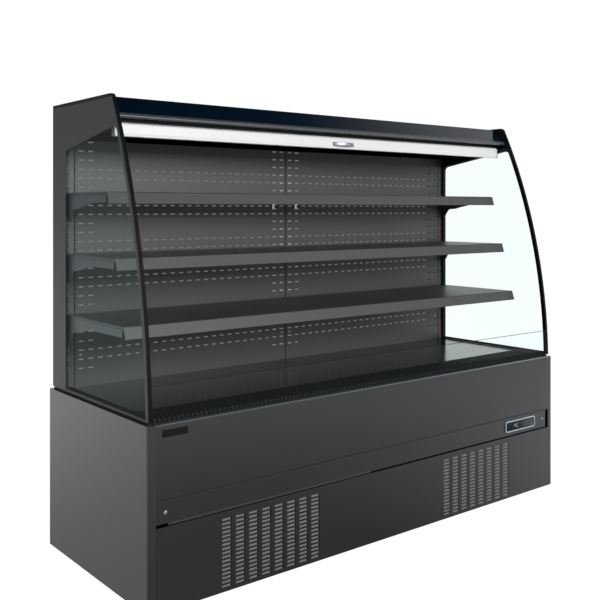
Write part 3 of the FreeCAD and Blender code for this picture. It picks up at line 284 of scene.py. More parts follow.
def clear_pane(name, tint, reflection_share=0.02, lets_through=1.0):
    """Thin clear sheet under a faint painted reflection, a grey glow mixed over it; it lets lamp light
    through.
    """
    f = Finish(name)
    # painted reflection: a grey glow mixed in a little over the clear sheet
    painted_reflection = f.principled(Base_Color=(0.0, 0.0, 0.0), Roughness=1.0, Specular_IOR_Level=0.0,
                        Emission_Color=(0.42, 0.46, 0.47), Emission_Strength=1.0)
    clear = f.node("BsdfTransparent", sockets={"Color": (*tint, 1.0)})
    share = f.noise(6.0, 2.0) * (reflection_share * 0.3) + reflection_share * 0.85
    seen = f.node("MixShader", sockets={0: share, 1: clear, 2: painted_reflection})
    dimmed = f.node("BsdfTransparent", sockets={"Color": (*[c * lets_through for c in tint], 1.0)})
    return f.done(f.node("MixShader", sockets={0: f.node("LightPath", output=1), 1: seen, 2: dimmed}))


def brushed_zinc(name, colour, roughness=0.42):
    """Bare or galvanised metal with drawn streaks and a faint spangle."""
    f = Finish(name)
    streak = f.noise(60.0, 4.0, (1.0, 1.0, 14.0))
    flake = f.noise(35.0, 1.0)
    tone = f.blend(flake, tuple(c * 0.85 for c in colour), tuple(min(1, c * 1.12) for c in colour))
    return f.done(f.principled(Base_Color=tone, Metallic=1.0, Roughness=streak * 0.16 + (roughness - 0.08)))


def moulded(name, colour, roughness=0.5, texture=0.15, shine=0.5):
    """Moulded plastic, or any small part with a fine grain."""
    f = Finish(name)
    pores = f.noise(1400.0, 2.0)
    patch = f.noise(9.0, 2.0)
    tone = f.blend(patch, tuple(c * 0.9 for c in colour), tuple(c * 1.1 for c in colour))
    return f.done(f.principled(Base_Color=tone, Roughness=patch * 0.08 + (roughness - 0.04),
                               Normal=f.bump(pores, texture, 0.0003), Specular_IOR_Level=shine))


def satin_metal(name, colour, roughness):
    """Ground metal without a coat."""
    f = Finish(name)
    wear = f.noise(40.0, 3.0)
    return f.done(f.principled(Base_Color=colour, Metallic=1.0, Roughness=wear * 0.06 + roughness))


def glowing_clip(name):
    """Galvanised sheet with a faint grey glow, painted light that keeps it brighter than the shade round it.
    """
    f = Finish(name)
    flake = f.noise(60.0, 2.0)
    tone = f.blend(flake, (0.70, 0.71, 0.72), (0.86, 0.87, 0.88))
    # painted light: a faint grey glow that keeps the clips bright in the shelf's shade
    glow = f.blend(flake, (0.20, 0.20, 0.21), (0.30, 0.30, 0.31))
    return f.done(f.principled(Base_Color=tone, Roughness=flake * 0.1 + 0.35, Emission_Color=glow,
                               Emission_Strength=1.0))


def lamp_cover(name, strength):
    """Frosted lamp cover, a little dimmer at its ends."""
    f = Finish(name)
    along = f.place("X")
    near_end = (along * along) > 0.84
    glow = f.blend(near_end, (1.0, 1.0, 1.0), (0.75, 0.78, 0.8))
    return f.done(f.principled(Base_Color=(0.9, 0.9, 0.9), Roughness=0.4, Emission_Color=glow,
                               Emission_Strength=strength))


def liner(name):
    """Rear wall: dark coat outside, pale liner on the air-duct side with a faint glow left of DARK_SLOTS_X,
    painted light seen through the slots.
    """
    f = Finish(name)
    inner = f.place("Y") < LINER_Y * MM
    cloud = f.noise(3.0, 2.0)
    outer = f.blend(cloud, (0.026, 0.028, 0.031), (0.031, 0.033, 0.037))
    tone = f.blend(inner, outer, (0.40, 0.41, 0.41))
    # painted light: a grey glow on the liner, left out to the right of DARK_SLOTS_X as painted shade
    glow = f.blend(inner * (f.place("X") < DARK_SLOTS_X * MM), (0.0, 0.0, 0.0), (0.185, 0.185, 0.185))
    return f.done(f.principled(Base_Color=tone, Roughness=cloud * 0.05 + 0.45, Emission_Color=glow,
                               Emission_Strength=1.0))


def woven_cloth(name):
    """Plain weave."""
    f = Finish(name)
    warp = f.node("TexWave", {"bands_direction": "X"}, {"Vector": f.place(), "Scale": 400.0}, output=1)
    weft = f.node("TexWave", {"bands_direction": "Z"}, {"Vector": f.place(), "Scale": 400.0}, output=1)
    return f.done(f.principled(Base_Color=(0.62, 0.63, 0.65), Roughness=0.6,
                               Normal=f.bump(warp + weft, 0.3, 0.0003)))


def white_floor(name):
    """White to the camera with a faint contact shadow; in reflections a white glow with painted shade near
    the cabinet, growing with distance from it and towards +X; mid grey as a bounce.
    """
    f = Finish(name)
    seen = f.node("LightPath", output=0) + f.node("LightPath", output=6)
    mirrored = f.node("LightPath", output=3)
    x, y = f.place("X"), f.place("Y")
    # painted shade in reflections: the glow is lowest near the cabinet and grows with distance and towards
    # +X
    away = f.node("Math", {"operation": "SQRT"}, {0: x * x + y * y})
    near = f.node("Clamp", sockets={"Value": x * (y + 1.4) * 0.5})
    glow = f.node("Clamp", sockets={"Value": away * 0.39 + near + 0.31, "Max": 1.5})
    matt = f.node("BsdfDiffuse", sockets={"Color": (0.35, 0.35, 0.35, 1.0)})
    bright = f.node("Emission", sockets={"Color": (1.0, 1.0, 1.0, 1.0), "Strength": 1.32})
    shine = f.node("Emission", sockets={"Color": (1.0, 1.0, 1.0, 1.0), "Strength": glow})
    plain = f.node("MixShader", sockets={0: seen * 0.76, 1: matt, 2: bright})
    return f.done(f.node("MixShader", sockets={0: mirrored, 1: plain, 2: shine}))


def light_world():
    """White backdrop; as a light, bright low down on the right, dim on the left, dark overhead."""
    world = bpy.data.worlds.new("studio")
    world.use_nodes = True
    tree = world.node_tree
    tree.nodes.clear()
    f = Finish.__new__(Finish)
    f.tree = tree
    x, z = [f.node("SeparateXYZ", sockets={0: f.node("TexCoord", output=0)}, output=k) for k in (0, 2)]
    side = f.node("Clamp", sockets={"Value": x * 1.5 + 0.4})
    low = f.node("Clamp", sockets={"Value": (0.77 - z) * 5.0})
    mirrored = f.node("LightPath", output=3)
    glow = (side * 0.8 + 0.22) * low * (mirrored * 0.5 + 0.5)
    room = f.node("Background", sockets={"Color": (1.0, 1.0, 1.0, 1.0), "Strength": glow})
    white = f.node("Background", sockets={"Color": (1.0, 1.0, 1.0, 1.0), "Strength": 1.01})
    seen = f.node("LightPath", output=0) + f.node("LightPath", output=6)
    mix = f.node("MixShader", sockets={0: seen, 1: room, 2: white})
    out = tree.nodes.new("ShaderNodeOutputWorld")
    tree.links.new(mix.socket, out.inputs["Surface"])
    bpy.context.scene.world = world
    bpy.context.scene.view_settings.view_transform = "Standard"


# ---------------------------------------------------------------- modelling helpers
def deselect():
    bpy.ops.object.select_all(action="DESELECT")


def editing(obj, mode="EDIT"):
    deselect()
    obj.select_set(True)
    bpy.context.view_layer.objects.active = obj
    bpy.ops.object.mode_set(mode=mode)


def outline(name, points, x):
    """Flat face standing at x, with its corners at the (y, z) points."""
    deselect()
    bpy.ops.mesh.primitive_circle_add(vertices=len(points), fill_type="NGON")
    obj = bpy.context.object
    obj.name = name
    for vertex, (y, z) in zip(obj.data.vertices, points):
        vertex.co = (x * MM, y * MM, z * MM)
    return obj


def extrude(obj, shift):
    """Draws a flat face out into a closed bar."""
    editing(obj)
    bpy.ops.mesh.select_all(action="SELECT")
    bpy.ops.mesh.extrude_region_move(TRANSFORM_OT_translate={"value": [s * MM for s in shift]})
    bpy.ops.mesh.select_all(action="SELECT")
    bpy.ops.mesh.normals_make_consistent(inside=False)
    bpy.ops.object.mode_set(mode="OBJECT")
    return obj


def bar(name, points, x0, x1):
    return extrude(outline(name, points, x0), (x1 - x0, 0.0, 0.0))


def block(name, low, high):
    """Box between two corners, its place in its mesh."""
    deselect()
    bpy.ops.mesh.primitive_cube_add(size=1)
    obj = bpy.context.object
    obj.name = name
    for vertex in obj.data.vertices:
        part = [(low[i] if vertex.co[i] < 0 else high[i]) * MM for i in range(3)]
        vertex.co = part
    return obj


def use(obj, kind, **settings):
    """Adds a modifier and applies it."""
    editing(obj, "OBJECT")
    modifier = obj.modifiers.new(kind.lower(), kind)
    for key, value in settings.items():
        setattr(modifier, key, value)
    bpy.ops.object.modifier_apply(modifier=modifier.name)
    return obj


def bevel(obj, width, segments=2, angle=40.0):
    return use(obj, "BEVEL", width=width * MM, segments=segments, limit_method="ANGLE",
               angle_limit=math.radians(angle))


def smooth(obj, angle=35.0):
    editing(obj, "OBJECT")
    bpy.ops.object.shade_smooth_by_angle(angle=math.radians(angle))
    return obj


def repeat(obj, count, step):
    return use(obj, "ARRAY", count=count, use_relative_offset=False, use_constant_offset=True,
               constant_offset_displace=[s * MM for s in step])


def join(name, objects):
    deselect()
    for obj in objects:
        obj.select_set(True)
    bpy.context.view_layer.objects.active = objects[0]
    bpy.ops.object.join()
    objects[0].name = name
    return objects[0]


def seat(obj, body, material, nodes=()):
    """Gives a finished piece its finish and the body that it rides on."""
    obj.data.materials.clear()
    obj.data.materials.append(material)
    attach(obj, body)
    if nodes:
        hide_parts(*nodes)
    return obj


def holed_sheet(name, xs, zs, is_hole, y, thickness):
    """Sheet across X and Z with a hole in each cell that is_hole picks."""
    deselect()
    bpy.ops.mesh.primitive_grid_add(x_subdivisions=len(xs) - 1, y_subdivisions=len(zs) - 1, size=1)
    obj = bpy.context.object
    obj.name = name
    for k, vertex in enumerate(obj.data.vertices):
        vertex.co = (xs[k % len(xs)] * MM, y * MM, zs[k // len(xs)] * MM)
    editing(obj)
    bpy.ops.mesh.select_mode(type="FACE")
    bpy.ops.mesh.select_all(action="DESELECT")
    bpy.ops.object.mode_set(mode="OBJECT")
    for face in obj.data.polygons:
        face.select = is_hole(face.center.x / MM, face.center.z / MM)
    bpy.ops.object.mode_set(mode="EDIT")
    bpy.ops.mesh.delete(type="FACE")
    bpy.ops.object.mode_set(mode="OBJECT")
    return use(obj, "SOLIDIFY", thickness=thickness * MM, offset=-1.0)


# ---------------------------------------------------------------- back panels and uprights
SLOT_COLUMNS = 25
SLOT_ROWS = 26
SLOT_FIRST = (21.4, 617.0)
SLOT_PITCH = (36.06, 31.05)
SLOT_SIZE = (18.0, 3.6)
PANEL_EDGES = (0.75, 909.0, 554.0, 1425.0)
LADDER = (5.0, 12.0)      # slots of the end uprights
LADDER_X = 933.25
POST_EDGE = 897.0
POST_STRIP = (911.0, 929.5)
UPRIGHT_SHEET = 2.0
UPRIGHT_TOP = 1475.0
MIDDLE_LADDER_X = SLOT_FIRST[0] + SLOT_PITCH[0]


def cell_lines(first, pitch, count, size, low, high):
    """Grid lines at both edges of each slot and at the sheet's own edges."""
    lines = [low]
    for i in range(count):
        middle = first + pitch * i
        lines += [middle - size / 2, middle + size / 2]
    return lines + [high]


def back_slot(x, z):
    """True where a cell of a back panel is a punched slot."""
    column = (abs(x) - SLOT_FIRST[0]) / SLOT_PITCH[0]
    row = (z - SLOT_FIRST[1]) / SLOT_PITCH[1]
    i, n = round(column), round(row)
    if abs(column - i) * SLOT_PITCH[0] > 1.0 or abs(row - n) * SLOT_PITCH[1] > 1.0:
        return False
    if not (0 <= i < SLOT_COLUMNS and 0 <= n < SLOT_ROWS):
        return False
    ladder = i < 2 or i >= SLOT_COLUMNS - 2
    return ladder or (n % 4 in (1, 2) and n < SLOT_ROWS - 1)


def back_panels(coat):
    x0, x1, z0, z1 = PANEL_EDGES
    xs = cell_lines(SLOT_FIRST[0], SLOT_PITCH[0], SLOT_COLUMNS, SLOT_SIZE[0], x0, x1)
    zs = cell_lines(SLOT_FIRST[1], SLOT_PITCH[1], SLOT_ROWS, SLOT_SIZE[1], z0, z1)
    right = holed_sheet("slotted_back_right", xs, zs, back_slot, BACK_Y, BACK_SHEET)
    seat(right, "cabinet", coat, ["back_panel_right"])
    left = holed_sheet("slotted_back_left", [-x for x in xs[::-1]], zs, back_slot, BACK_Y, BACK_SHEET)
    seat(left, "cabinet", coat, ["back_panel_left"])


def upright(name, x0, x1, ladders):
    """Slotted face of an upright with its two flanges back to the rear wall."""
    slot_w, slot_h = LADDER if max(x1, -x0) > 900.0 else SLOT_SIZE
    xs = [x0]
    for x in ladders:
        xs += [x - slot_w / 2, x + slot_w / 2]
    xs.append(x1)
    lift = (slot_h - SLOT_SIZE[1]) / 2      # sills line up with the panels' slots
    zs = cell_lines(SLOT_FIRST[1] + lift, SLOT_PITCH[1], SLOT_ROWS, slot_h, BASE_TOP, UPRIGHT_TOP)

    def is_slot(x, z):
        row = (z - SLOT_FIRST[1] - lift) / SLOT_PITCH[1]
        in_row = abs(row - round(row)) * SLOT_PITCH[1] < 1.0 and 0 <= round(row) < SLOT_ROWS
        return in_row and any(abs(x - ladder) < 1.0 for ladder in ladders)

    face_y = BACK_Y + BACK_SHEET
    face = holed_sheet(name, xs, zs, is_slot, face_y, UPRIGHT_SHEET)
    flanges = [block("flange", (x, face_y + UPRIGHT_SHEET, BASE_TOP),
                     (x + UPRIGHT_SHEET, 287.0, UPRIGHT_TOP)) for x in (x0, x1 - UPRIGHT_SHEET)]
    return join(name, [face] + flanges)


def uprights(coat, painted):
    half = MIDDLE_LADDER_X + 18.0
    parts = [upright("upright_left", -HALF_INSIDE, -POST_EDGE, [-LADDER_X]),
             upright("upright_middle", -half, half, [-MIDDLE_LADDER_X, MIDDLE_LADDER_X]),
             upright("upright_right", POST_EDGE, HALF_INSIDE, [LADDER_X])]
    for part in parts:
        seat(part, "cabinet", coat, ["uprights"])
    for side, name in ((-1, "post_strip_left"), (1, "post_strip_right")):
        x0, x1 = sorted((side * POST_STRIP[0], side * POST_STRIP[1]))
        strip = block(name, (x0, BACK_Y, DECK_TOP), (x1, BACK_Y + BACK_SHEET, PANEL_EDGES[3]))
        seat(bevel(strip, 0.3, 1), "cabinet", painted)


# ---------------------------------------------------------------- return grid
RIB_PITCH = 16.0
RIB_T = 8.0
GRID_HALF = 936.5


def return_grid(ribs_finish):
    """Crowned ribs that drop to the front glass, on cross rods and a rear lip."""
    rear = bar("grid_rear_lip", [(-206.0, 546.5), (-202.0, 546.5), (-202.0, 551.5), (-206.0, 551.5)],
               -GRID_HALF, GRID_HALF)
    rods = [bar("grid_rod", [(y - 3.0, 547.0), (y + 3.0, 547.0), (y + 3.0, 552.0), (y - 3.0, 552.0)],
                -GRID_HALF, GRID_HALF) for y in (-312.0, -282.0, -242.0)]
    ends = [block("grid_end", (x, -318.0, BASE_TOP), (x + 3.0, -206.0, 558.0))
            for x in (-GRID_HALF, GRID_HALF - 3.0)]
    for part in [rear] + rods:
        bevel(part, 0.8, 1)
    crown = [(-322.0, 544.0), (-321.5, 550.0), (-318.0, 555.5), (-311.0, 559.5), (-300.0, 561.6),
             (-262.0, 562.0), (-228.0, 561.6), (-214.0, 560.0), (-205.0, 557.0), (-202.4, 555.6),
             (-206.0, 553.6), (-216.0, 551.0), (-262.0, 550.0), (-306.0, 549.0), (-314.0, 546.0),
             (-316.0, 544.0)]
    count = int((2 * GRID_HALF - RIB_PITCH) // RIB_PITCH)
    first = -(count - 1) * RIB_PITCH / 2 - RIB_T / 2
    rib = bar("rib", crown, first, first + RIB_T)
    bevel(rib, 1.8, 1, 60.0)
    repeat(rib, count, (RIB_PITCH, 0.0, 0.0))
    grid = join("return_grid_ribs", [rear, rib] + rods + ends)
    seat(grid, "return_grid", ribs_finish, ["air_return_grid"])


def front_panel(coat):
    """Plain front sheet with a rounded top fold; its finish paints a highlight on the fold."""
    foot, radius = 325.0, 3.0
    shoulder = BASE_TOP - radius
    inside = FRONT + FRONT_SHEET
    outer = [(FRONT + 12.0, foot), (inside, foot), (FRONT, foot + FRONT_SHEET), (FRONT, shoulder)]
    inner = [(FRONT + 7.5, BASE_TOP - FRONT_SHEET), (FRONT + radius, BASE_TOP - FRONT_SHEET),
             (inside, shoulder), (inside, foot + FRONT_SHEET), (FRONT + 12.0, foot + FRONT_SHEET)]
    fold = [(FRONT + radius - radius * math.cos(a), shoulder + radius * math.sin(a))
            for a in [math.radians(15.0 * k) for k in range(1, 7)]]
    sheet = bar("front_panel_sheet", outer + fold + [(FRONT + 7.5, BASE_TOP)] + inner, -931.0, 931.0)
    seat(smooth(sheet, 30.0), "cabinet", coat, ["front_panel"])


def grille_backs(mesh_grey, black):
    """Dust filters behind the slotted fields of the lower panel, and black bars behind the columns' ends as
    painted shade at the slots' ends.
    """
    columns, column_pitch = 8, 49.8
    for x, name in ((-512.5, "dust_filter_left"), (477.5, "dust_filter_right")):
        pad = block(name, (x - 198.0, -345.8, 12.0), (x + 198.0, -342.0, 232.0))
        seat(bevel(pad, 0.6, 1), "lower_panel", mesh_grey)
        # painted shade: black bars behind one end of each slot column
        end = block(name.replace("filter", "filter_shade_bars"), (x - 160.6, -346.0, 14.0),
                    (x - 157.2, -345.6, 230.0))
        seat(repeat(end, columns, (column_pitch, 0.0, 0.0)), "lower_panel", black)


def grip(shade, black):
    """Black sheet behind the gap over the lower panel as painted shade in the gap, dark strip behind the
    seam as painted shade in the seam, and lip of the finger grip.
    """
    # painted shade: black sheet behind the grip gap
    gap_shade = bar("grip_gap_shade", [(-341.5, 243.0), (-339.5, 243.0), (-339.5, 257.0), (-341.5, 257.0)],
                 -930.0, 911.0)
    seat(bevel(gap_shade, 0.4, 1), "cabinet", black)
    # painted shade: dark strip filling the seam
    seam = bar("seam_shade_fill", [(-345.4, 322.0), (-344.2, 322.0), (-344.2, 326.6), (-345.4, 326.6)],
               -930.0, 930.0)
    seat(seam, "cabinet", shade)
    lip = bar("grip_lip", [(-344.5, 249.0), (-342.0, 249.0), (-342.0, 257.0), (-344.5, 257.0)],
              -890.0, -82.0)
    seat(bevel(lip, 0.4, 1), "cabinet", shade)


def glass_edge(edge_finish):
    """Ground top edge of the front glass."""
    strip = bar("glass_edge", [(-338.2, 651.0), (-331.8, 651.0), (-331.8, 652.3), (-338.2, 652.3)],
                -936.0, 936.0)
    seat(bevel(strip, 0.3, 1), "cabinet", edge_finish)


SHADE_BAND_FOOT = 1399.0        # lower edge of the black band over the back panels, painted shade under the canopy


def gaskets_and_top_shade(black):
    """Black gaskets along the foot of the side windows, and a black band over the back panels as painted
    shade under the canopy.
    """
    for side, name in ((-1, "window_gasket_left"), (1, "window_gasket_right")):
        x0, x1 = sorted((side * 933.5, side * 937.4))
        gasket = bar(name, [(-326.0, 555.5), (234.0, 555.5), (234.0, 563.0), (-326.0, 563.0)], x0, x1)
        seat(bevel(gasket, 0.6, 2), "cabinet", black)
    face = BACK_Y - 3.6
    # painted shade: black band at the top of the back panels under the canopy
    top_band_shade = bar("back_top_shade_band", [(face, SHADE_BAND_FOOT), (BACK_Y, SHADE_BAND_FOOT), (BACK_Y, PANEL_EDGES[3]),
                                 (face, PANEL_EDGES[3])], -POST_STRIP[1], POST_STRIP[1])
    seat(bevel(top_band_shade, 0.4, 1), "cabinet", black)


def dark_joints(black):
    """Joints beside the back panels, and the line under the top edge of each shelf's front."""
    for x, name in ((-910.0, "panel_joint_left"), (0.0, "panel_joint_middle"), (910.0, "panel_joint_right")):
        joint = block(name, (x - 1.6, BACK_Y - 0.5, DECK_TOP + 1.0), (x + 1.6, BACK_Y + 0.3, SHADE_BAND_FOOT))
        seat(bevel(joint, 0.2, 1), "cabinet", black)
    for n, (top, front) in enumerate(SHELVES, 1):
        y0, y1, z0, z1 = front - 0.5, front + 0.6, top - 2.6, top - 0.4
        line = bar("shelf_edge_line_%d" % n, [(y0, z0), (y1, z0), (y1, z1), (y0, z1)], -926.0, 926.0)
        seat(line, "shelf_%d" % n, black)


def back_buttons(pale):
    """Small round plugs in the back panels beside the seam and at the ends."""
    for x, name in ((-889.0, "plug_1"), (-19.5, "plug_2"), (19.5, "plug_3"), (889.0, "plug_4")):
        ring = [math.radians(30.0 * k) for k in range(12)]
        outline = [(x + 4.2 * math.cos(a), 664.0 + 4.2 * math.sin(a)) for a in ring]
        plug = facing_outline(name, outline, BACK_Y - 0.8)
        seat(bevel(extrude(plug, (0.0, 0.9, 0.0)), 0.3, 2), "cabinet", pale)


def plate_and_screws(black, zinc):
    """Bare plate at the front's left, and the two round-headed screws of the control strip."""
    plate = block("bare_plate", (-910.7, -348.7, 505.8), (-824.7, -347.4, 528.5))
    seat(bevel(plate, 0.4, 2), "cabinet", black)
    seat_y, radius, proud = FRONT - 0.1, 6.2, 2.4
    for x, name in ((-900.6, "strip_screw_left"), (890.9, "strip_screw_right")):
        deselect()
        bpy.ops.mesh.primitive_uv_sphere_add(segments=24, ring_count=12, radius=1.0)
        head = bpy.context.object
        head.name = name
        for vertex in head.data.vertices:
            vertex.co = ((x + vertex.co.x * radius) * MM, (seat_y + vertex.co.y * proud) * MM,
                         (CTRL[1] + vertex.co.z * radius) * MM)
        editing(head)
        bpy.ops.mesh.select_all(action="SELECT")
        bpy.ops.mesh.bisect(plane_co=(0.0, seat_y * MM, 0.0), plane_no=(0.0, 1.0, 0.0), use_fill=True,
                            clear_outer=True)
        bpy.ops.object.mode_set(mode="OBJECT")
        socket = block("socket", (x - 4.4, -350.4, CTRL[1] - 0.6), (x + 4.4, -349.2, CTRL[1] + 0.6))
        use(head, "BOOLEAN", object=socket, operation="DIFFERENCE", solver="EXACT")
        bpy.data.objects.remove(socket)
        seat(smooth(head, 40.0), "cabinet", zinc)


def shelf_clips(bright):
    """Folded clips that lock the middle brackets in their slots; pale galvanised, and brighter still by a
    painted glow.
    """
    gauge, tall, mouth = 2.0, 20.0, BACK_Y - 14.0
    for n, (top, _) in enumerate(SHELVES, 1):
        for side in (-1, 1):
            x = side * MIDDLE_LADDER_X
            low = top - 55.0
            high = low + tall
            clip = bar("shelf_clip", [(mouth, low), (BACK_Y, low), (BACK_Y, high), (mouth, high),
                                      (mouth, high - gauge), (BACK_Y - gauge, high - gauge),
                                      (BACK_Y - gauge, low + gauge), (mouth, low + gauge)],
                       x - 10.0, x - 1.4)
            seat(bevel(clip, 0.3, 1), "cabinet", bright).name = "shelf_clip_%d_%s" % (n, "lr"[side > 0])


# ---------------------------------------------------------------- canopy, blind, lamp
def canopy(gloss_navy, nose_grey):
    """Navy panel on the slope, held by a round-nosed profile under it."""
    top, top_y, nose_y, nose_z, r, sheet = 1516.0, -56.0, -113.0, 1451.0, 6.0, 1.4
    lean = math.atan2(top - nose_z, top_y - nose_y)
    first = math.degrees(lean) + 90.0
    normal = (-math.sin(lean), math.cos(lean))
    foot = (nose_y + r * normal[0], nose_z + r * normal[1])
    share = 8.0 / math.hypot(top_y - foot[0], top - foot[1])
    split = (foot[0] + (top_y - foot[0]) * share, foot[1] + (top - foot[1]) * share)
    under_split = (split[0] - normal[0] * sheet, split[1] - normal[1] * sheet)
    panel = bar("fascia_panel", [(-30.0, top), (top_y, top), split, under_split,
                                 (top_y - normal[0] * sheet, top - sheet), (-30.0, top - sheet)],
                -HALF_INSIDE, HALF_INSIDE)
    seat(bevel(panel, 0.4, 2), "cabinet", gloss_navy, ["canopy_fascia"])
    arc = [math.radians(first + (270.0 - first) * k / 16) for k in range(17)]
    outer = [split] + [(nose_y + r * math.cos(a), nose_z + r * math.sin(a)) for a in arc]
    inner = [(nose_y + (r - sheet) * math.cos(a), nose_z + (r - sheet) * math.sin(a)) for a in arc[::-1]]
    rim = [(-91.0, nose_z - r), (-91.0, nose_z - r + sheet)]
    nose = bar("nose_profile", outer + rim + inner + [under_split], -HALF_INSIDE, HALF_INSIDE)
    seat(smooth(nose, 40.0), "cabinet", nose_grey, ["canopy_fascia"])


def honeycomb(cell_finish):
    """Fine cells of the air outlet, made of folded strips side by side."""
    cell, depth, low, high = 12.0, 9.0, 1426.0, 1443.0
    strips = []
    frame_low, frame_high = 1425.0, 1445.0
    strips += [block("outlet_rail", (-HALF_INSIDE, y, frame_low), (HALF_INSIDE, y + 2.0, frame_high))
               for y in (-26.0, 32.0)]
    strips += [block("outlet_end", (x, -24.0, frame_low), (x + 2.0, 32.0, frame_high))
               for x in (-HALF_INSIDE, HALF_INSIDE - 2.0)]
    steps = int((2 * HALF_INSIDE - 8.0) // cell)
    start = -steps * cell / 2
    rows = 6
    for row in range(rows):
        y = -24.0 + (row + 0.5) * 56.0 / rows - depth / 2
        line = []
        for k in range(steps):
            x = start + k * cell
            up = (k + row) % 2
            line += [(x, y + (depth if up else 0.0)), (x + cell * 0.62, y + (depth if up else 0.0))]
        shape = line + [(x, y + 0.5) for x, y in line[::-1]]
        strip = outline("outlet_strip", [(0.0, 0.0)] * len(shape), 0.0)
        for vertex, (x, y) in zip(strip.data.vertices, shape):
            vertex.co = (x * MM, y * MM, low * MM)
        strips.append(extrude(strip, (0.0, 0.0, high - low)))
    seat(join("outlet_honeycomb", strips), "cabinet", cell_finish, ["air_outlet"])


def blind_bar(white, grey):
    """Rolled-up blind's bottom bar: shallow grooves on the face, a cap at each end."""
    low, high, front, rear = 1390.0, 1431.0, -85.0, -67.0
    profile = [(front + 2.0, low), (rear - 1.0, low), (rear, low + 1.0), (rear, high - 1.0),
               (rear - 1.0, high), (front + 3.0, high), (front + 0.6, high - 2.5),
               (front, high - 8.0), (front, low + 9.0), (front + 0.8, low + 8.2), (front + 0.8, low + 6.8),
               (front, low + 6.0), (front, low + 2.0)]
    face = bar("blind_bar_profile", profile, -926.0, 926.0)
    seat(bevel(face, 0.5, 2), "blind_bar", white, ["blind_bar"])
    for side, name in ((-1, "blind_bar_cap_left"), (1, "blind_bar_cap_right")):
        x0, x1 = sorted((side * 926.0, side * 930.0))
        cap = bar(name, [(front - 0.5, low - 0.5), (rear + 0.5, low - 0.5), (rear + 0.5, high + 0.5),
                         (front + 2.5, high + 0.5), (front - 0.5, high - 5.0)], x0, x1)
        seat(bevel(cap, 1.0, 2), "blind_bar", grey)
        x0, x1 = sorted((side * 929.5, side * 936.0))
        pin = block(name.replace("cap", "pin"), (x0, front + 3.0, high - 10.0), (x1, rear - 4.0, high - 3.0))
        seat(bevel(pin, 1.5, 2), "blind_bar", white)


def arc_points(width, depth, start_y, count):
    """Points (x, y) of a shallow arc that bows towards -Y."""
    half = width / 2
    radius = (half * half + depth * depth) / (2 * depth)
    reach = math.asin(half / radius)
    points = []
    for i in range(count + 1):
        angle = -reach + 2 * reach * i / count
        points.append((radius * math.sin(angle), start_y - depth + radius * (1 - math.cos(angle))))
    return points


def blind_handle(steel):
    """Slim bow handle that stands off the blind's bar."""
    middle, z = 17.0, 1400.5
    outer = arc_points(108.0, 18.5, -84.9, 24)
    inner = arc_points(94.0, 15.0, -84.9, 24)
    strap = outline("handle_strap", [(0.0, 0.0)] * (len(outer) + len(inner)), 0.0)
    for vertex, (x, y) in zip(strap.data.vertices, outer + inner[::-1]):
        vertex.co = ((x + middle) * MM, y * MM, z * MM)
    extrude(strap, (0.0, 0.0, 13.0))
    bevel(strap, 1.4, 3, 30.0)
    seat(smooth(strap, 40.0), "blind_bar", steel, ["blind_handle"])


def blind_cloth(cloth):
    """Cloth wound on the roller, and the short stretch down to the bar."""
    axis_y, axis_z, outer_r, gauge = -68.0, 1454.5, 15.0, 0.35
    turns = 9
    steps = 24 * turns
    points = []
    for i in range(steps + 1):
        share = i / steps
        r = outer_r - gauge * turns * (1 - share) - 0.2
        angle = math.pi + 2 * math.pi * turns * (share - 1)
        points.append((axis_y + r * math.cos(angle), axis_z + r * math.sin(angle)))
    points += [(points[-1][0], 1446.0), (points[-1][0], 1438.0), (points[-1][0], 1431.4)]
    deselect()
    bpy.ops.mesh.primitive_grid_add(x_subdivisions=1, y_subdivisions=len(points) - 1, size=1)
    obj = bpy.context.object
    obj.name = "blind_cloth"
    length = 0.0
    for k, vertex in enumerate(obj.data.vertices):
        y, z = points[k // 2]
        vertex.co = ((-918.0 if k % 2 == 0 else 918.0) * MM, y * MM, z * MM)
    for a, b in zip(points, points[1:]):
        length += math.hypot(b[0] - a[0], b[1] - a[1])
    use(obj, "SOLIDIFY", thickness=0.2 * MM, offset=0.0)
    smooth(obj, 60.0)
    obj.data.materials.append(cloth)
    drop_y = points[-1][0] * MM
    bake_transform(obj)
    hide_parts("blind_fabric")


# ---------------------------------------------------------------- controller
KEYS = ["key_%d" % n for n in range(1, 7)]


def facing_outline(name, points, y):
    """Flat face across X and Z at depth y."""
    obj = outline(name, [(0.0, 0.0)] * len(points), 0.0)
    for vertex, (x, z) in zip(obj.data.vertices, points):
        vertex.co = (x * MM, y * MM, z * MM)
    return obj


def rounded_rectangle(x, z, w, h, r, steps=6):
    points = []
    for cx, cz, start in ((w / 2 - r, h / 2 - r, 0), (-w / 2 + r, h / 2 - r, 90),
                          (-w / 2 + r, -h / 2 + r, 180), (w / 2 - r, -h / 2 + r, 270)):
        for i in range(steps + 1):
            angle = math.radians(start + 90.0 * i / steps)
            points.append((x + cx + r * math.cos(angle), z + cz + r * math.sin(angle)))
    return points


def rounded_block(name, x, z, w, h, r, y0, y1, edge):
    obj = extrude(facing_outline(name, rounded_rectangle(x, z, w, h, r), y0), (0.0, y1 - y0, 0.0))
    return bevel(obj, edge, 2, 50.0) if edge else obj


def digit(name, x, z, w, h, strokes):
    """Seven-segment digit from the strokes that are lit."""
    t = w * 0.2
    places = {"a": (x, z + h / 2, w - t, t), "d": (x, z - h / 2, w - t, t), "g": (x, z, w - t, t),
              "b": (x + w / 2, z + h / 4, t, h / 2 - t), "c": (x + w / 2, z - h / 4, t, h / 2 - t),
              "f": (x - w / 2, z + h / 4, t, h / 2 - t), "e": (x - w / 2, z - h / 4, t, h / 2 - t)}
    bars = []
    for stroke in strokes:
        sx, sz, sw, sh = places[stroke]
        bars.append(block("stroke", (sx - sw / 2, -350.85, sz - sh / 2), (sx + sw / 2, -350.5, sz + sh / 2)))
    return join(name, bars)


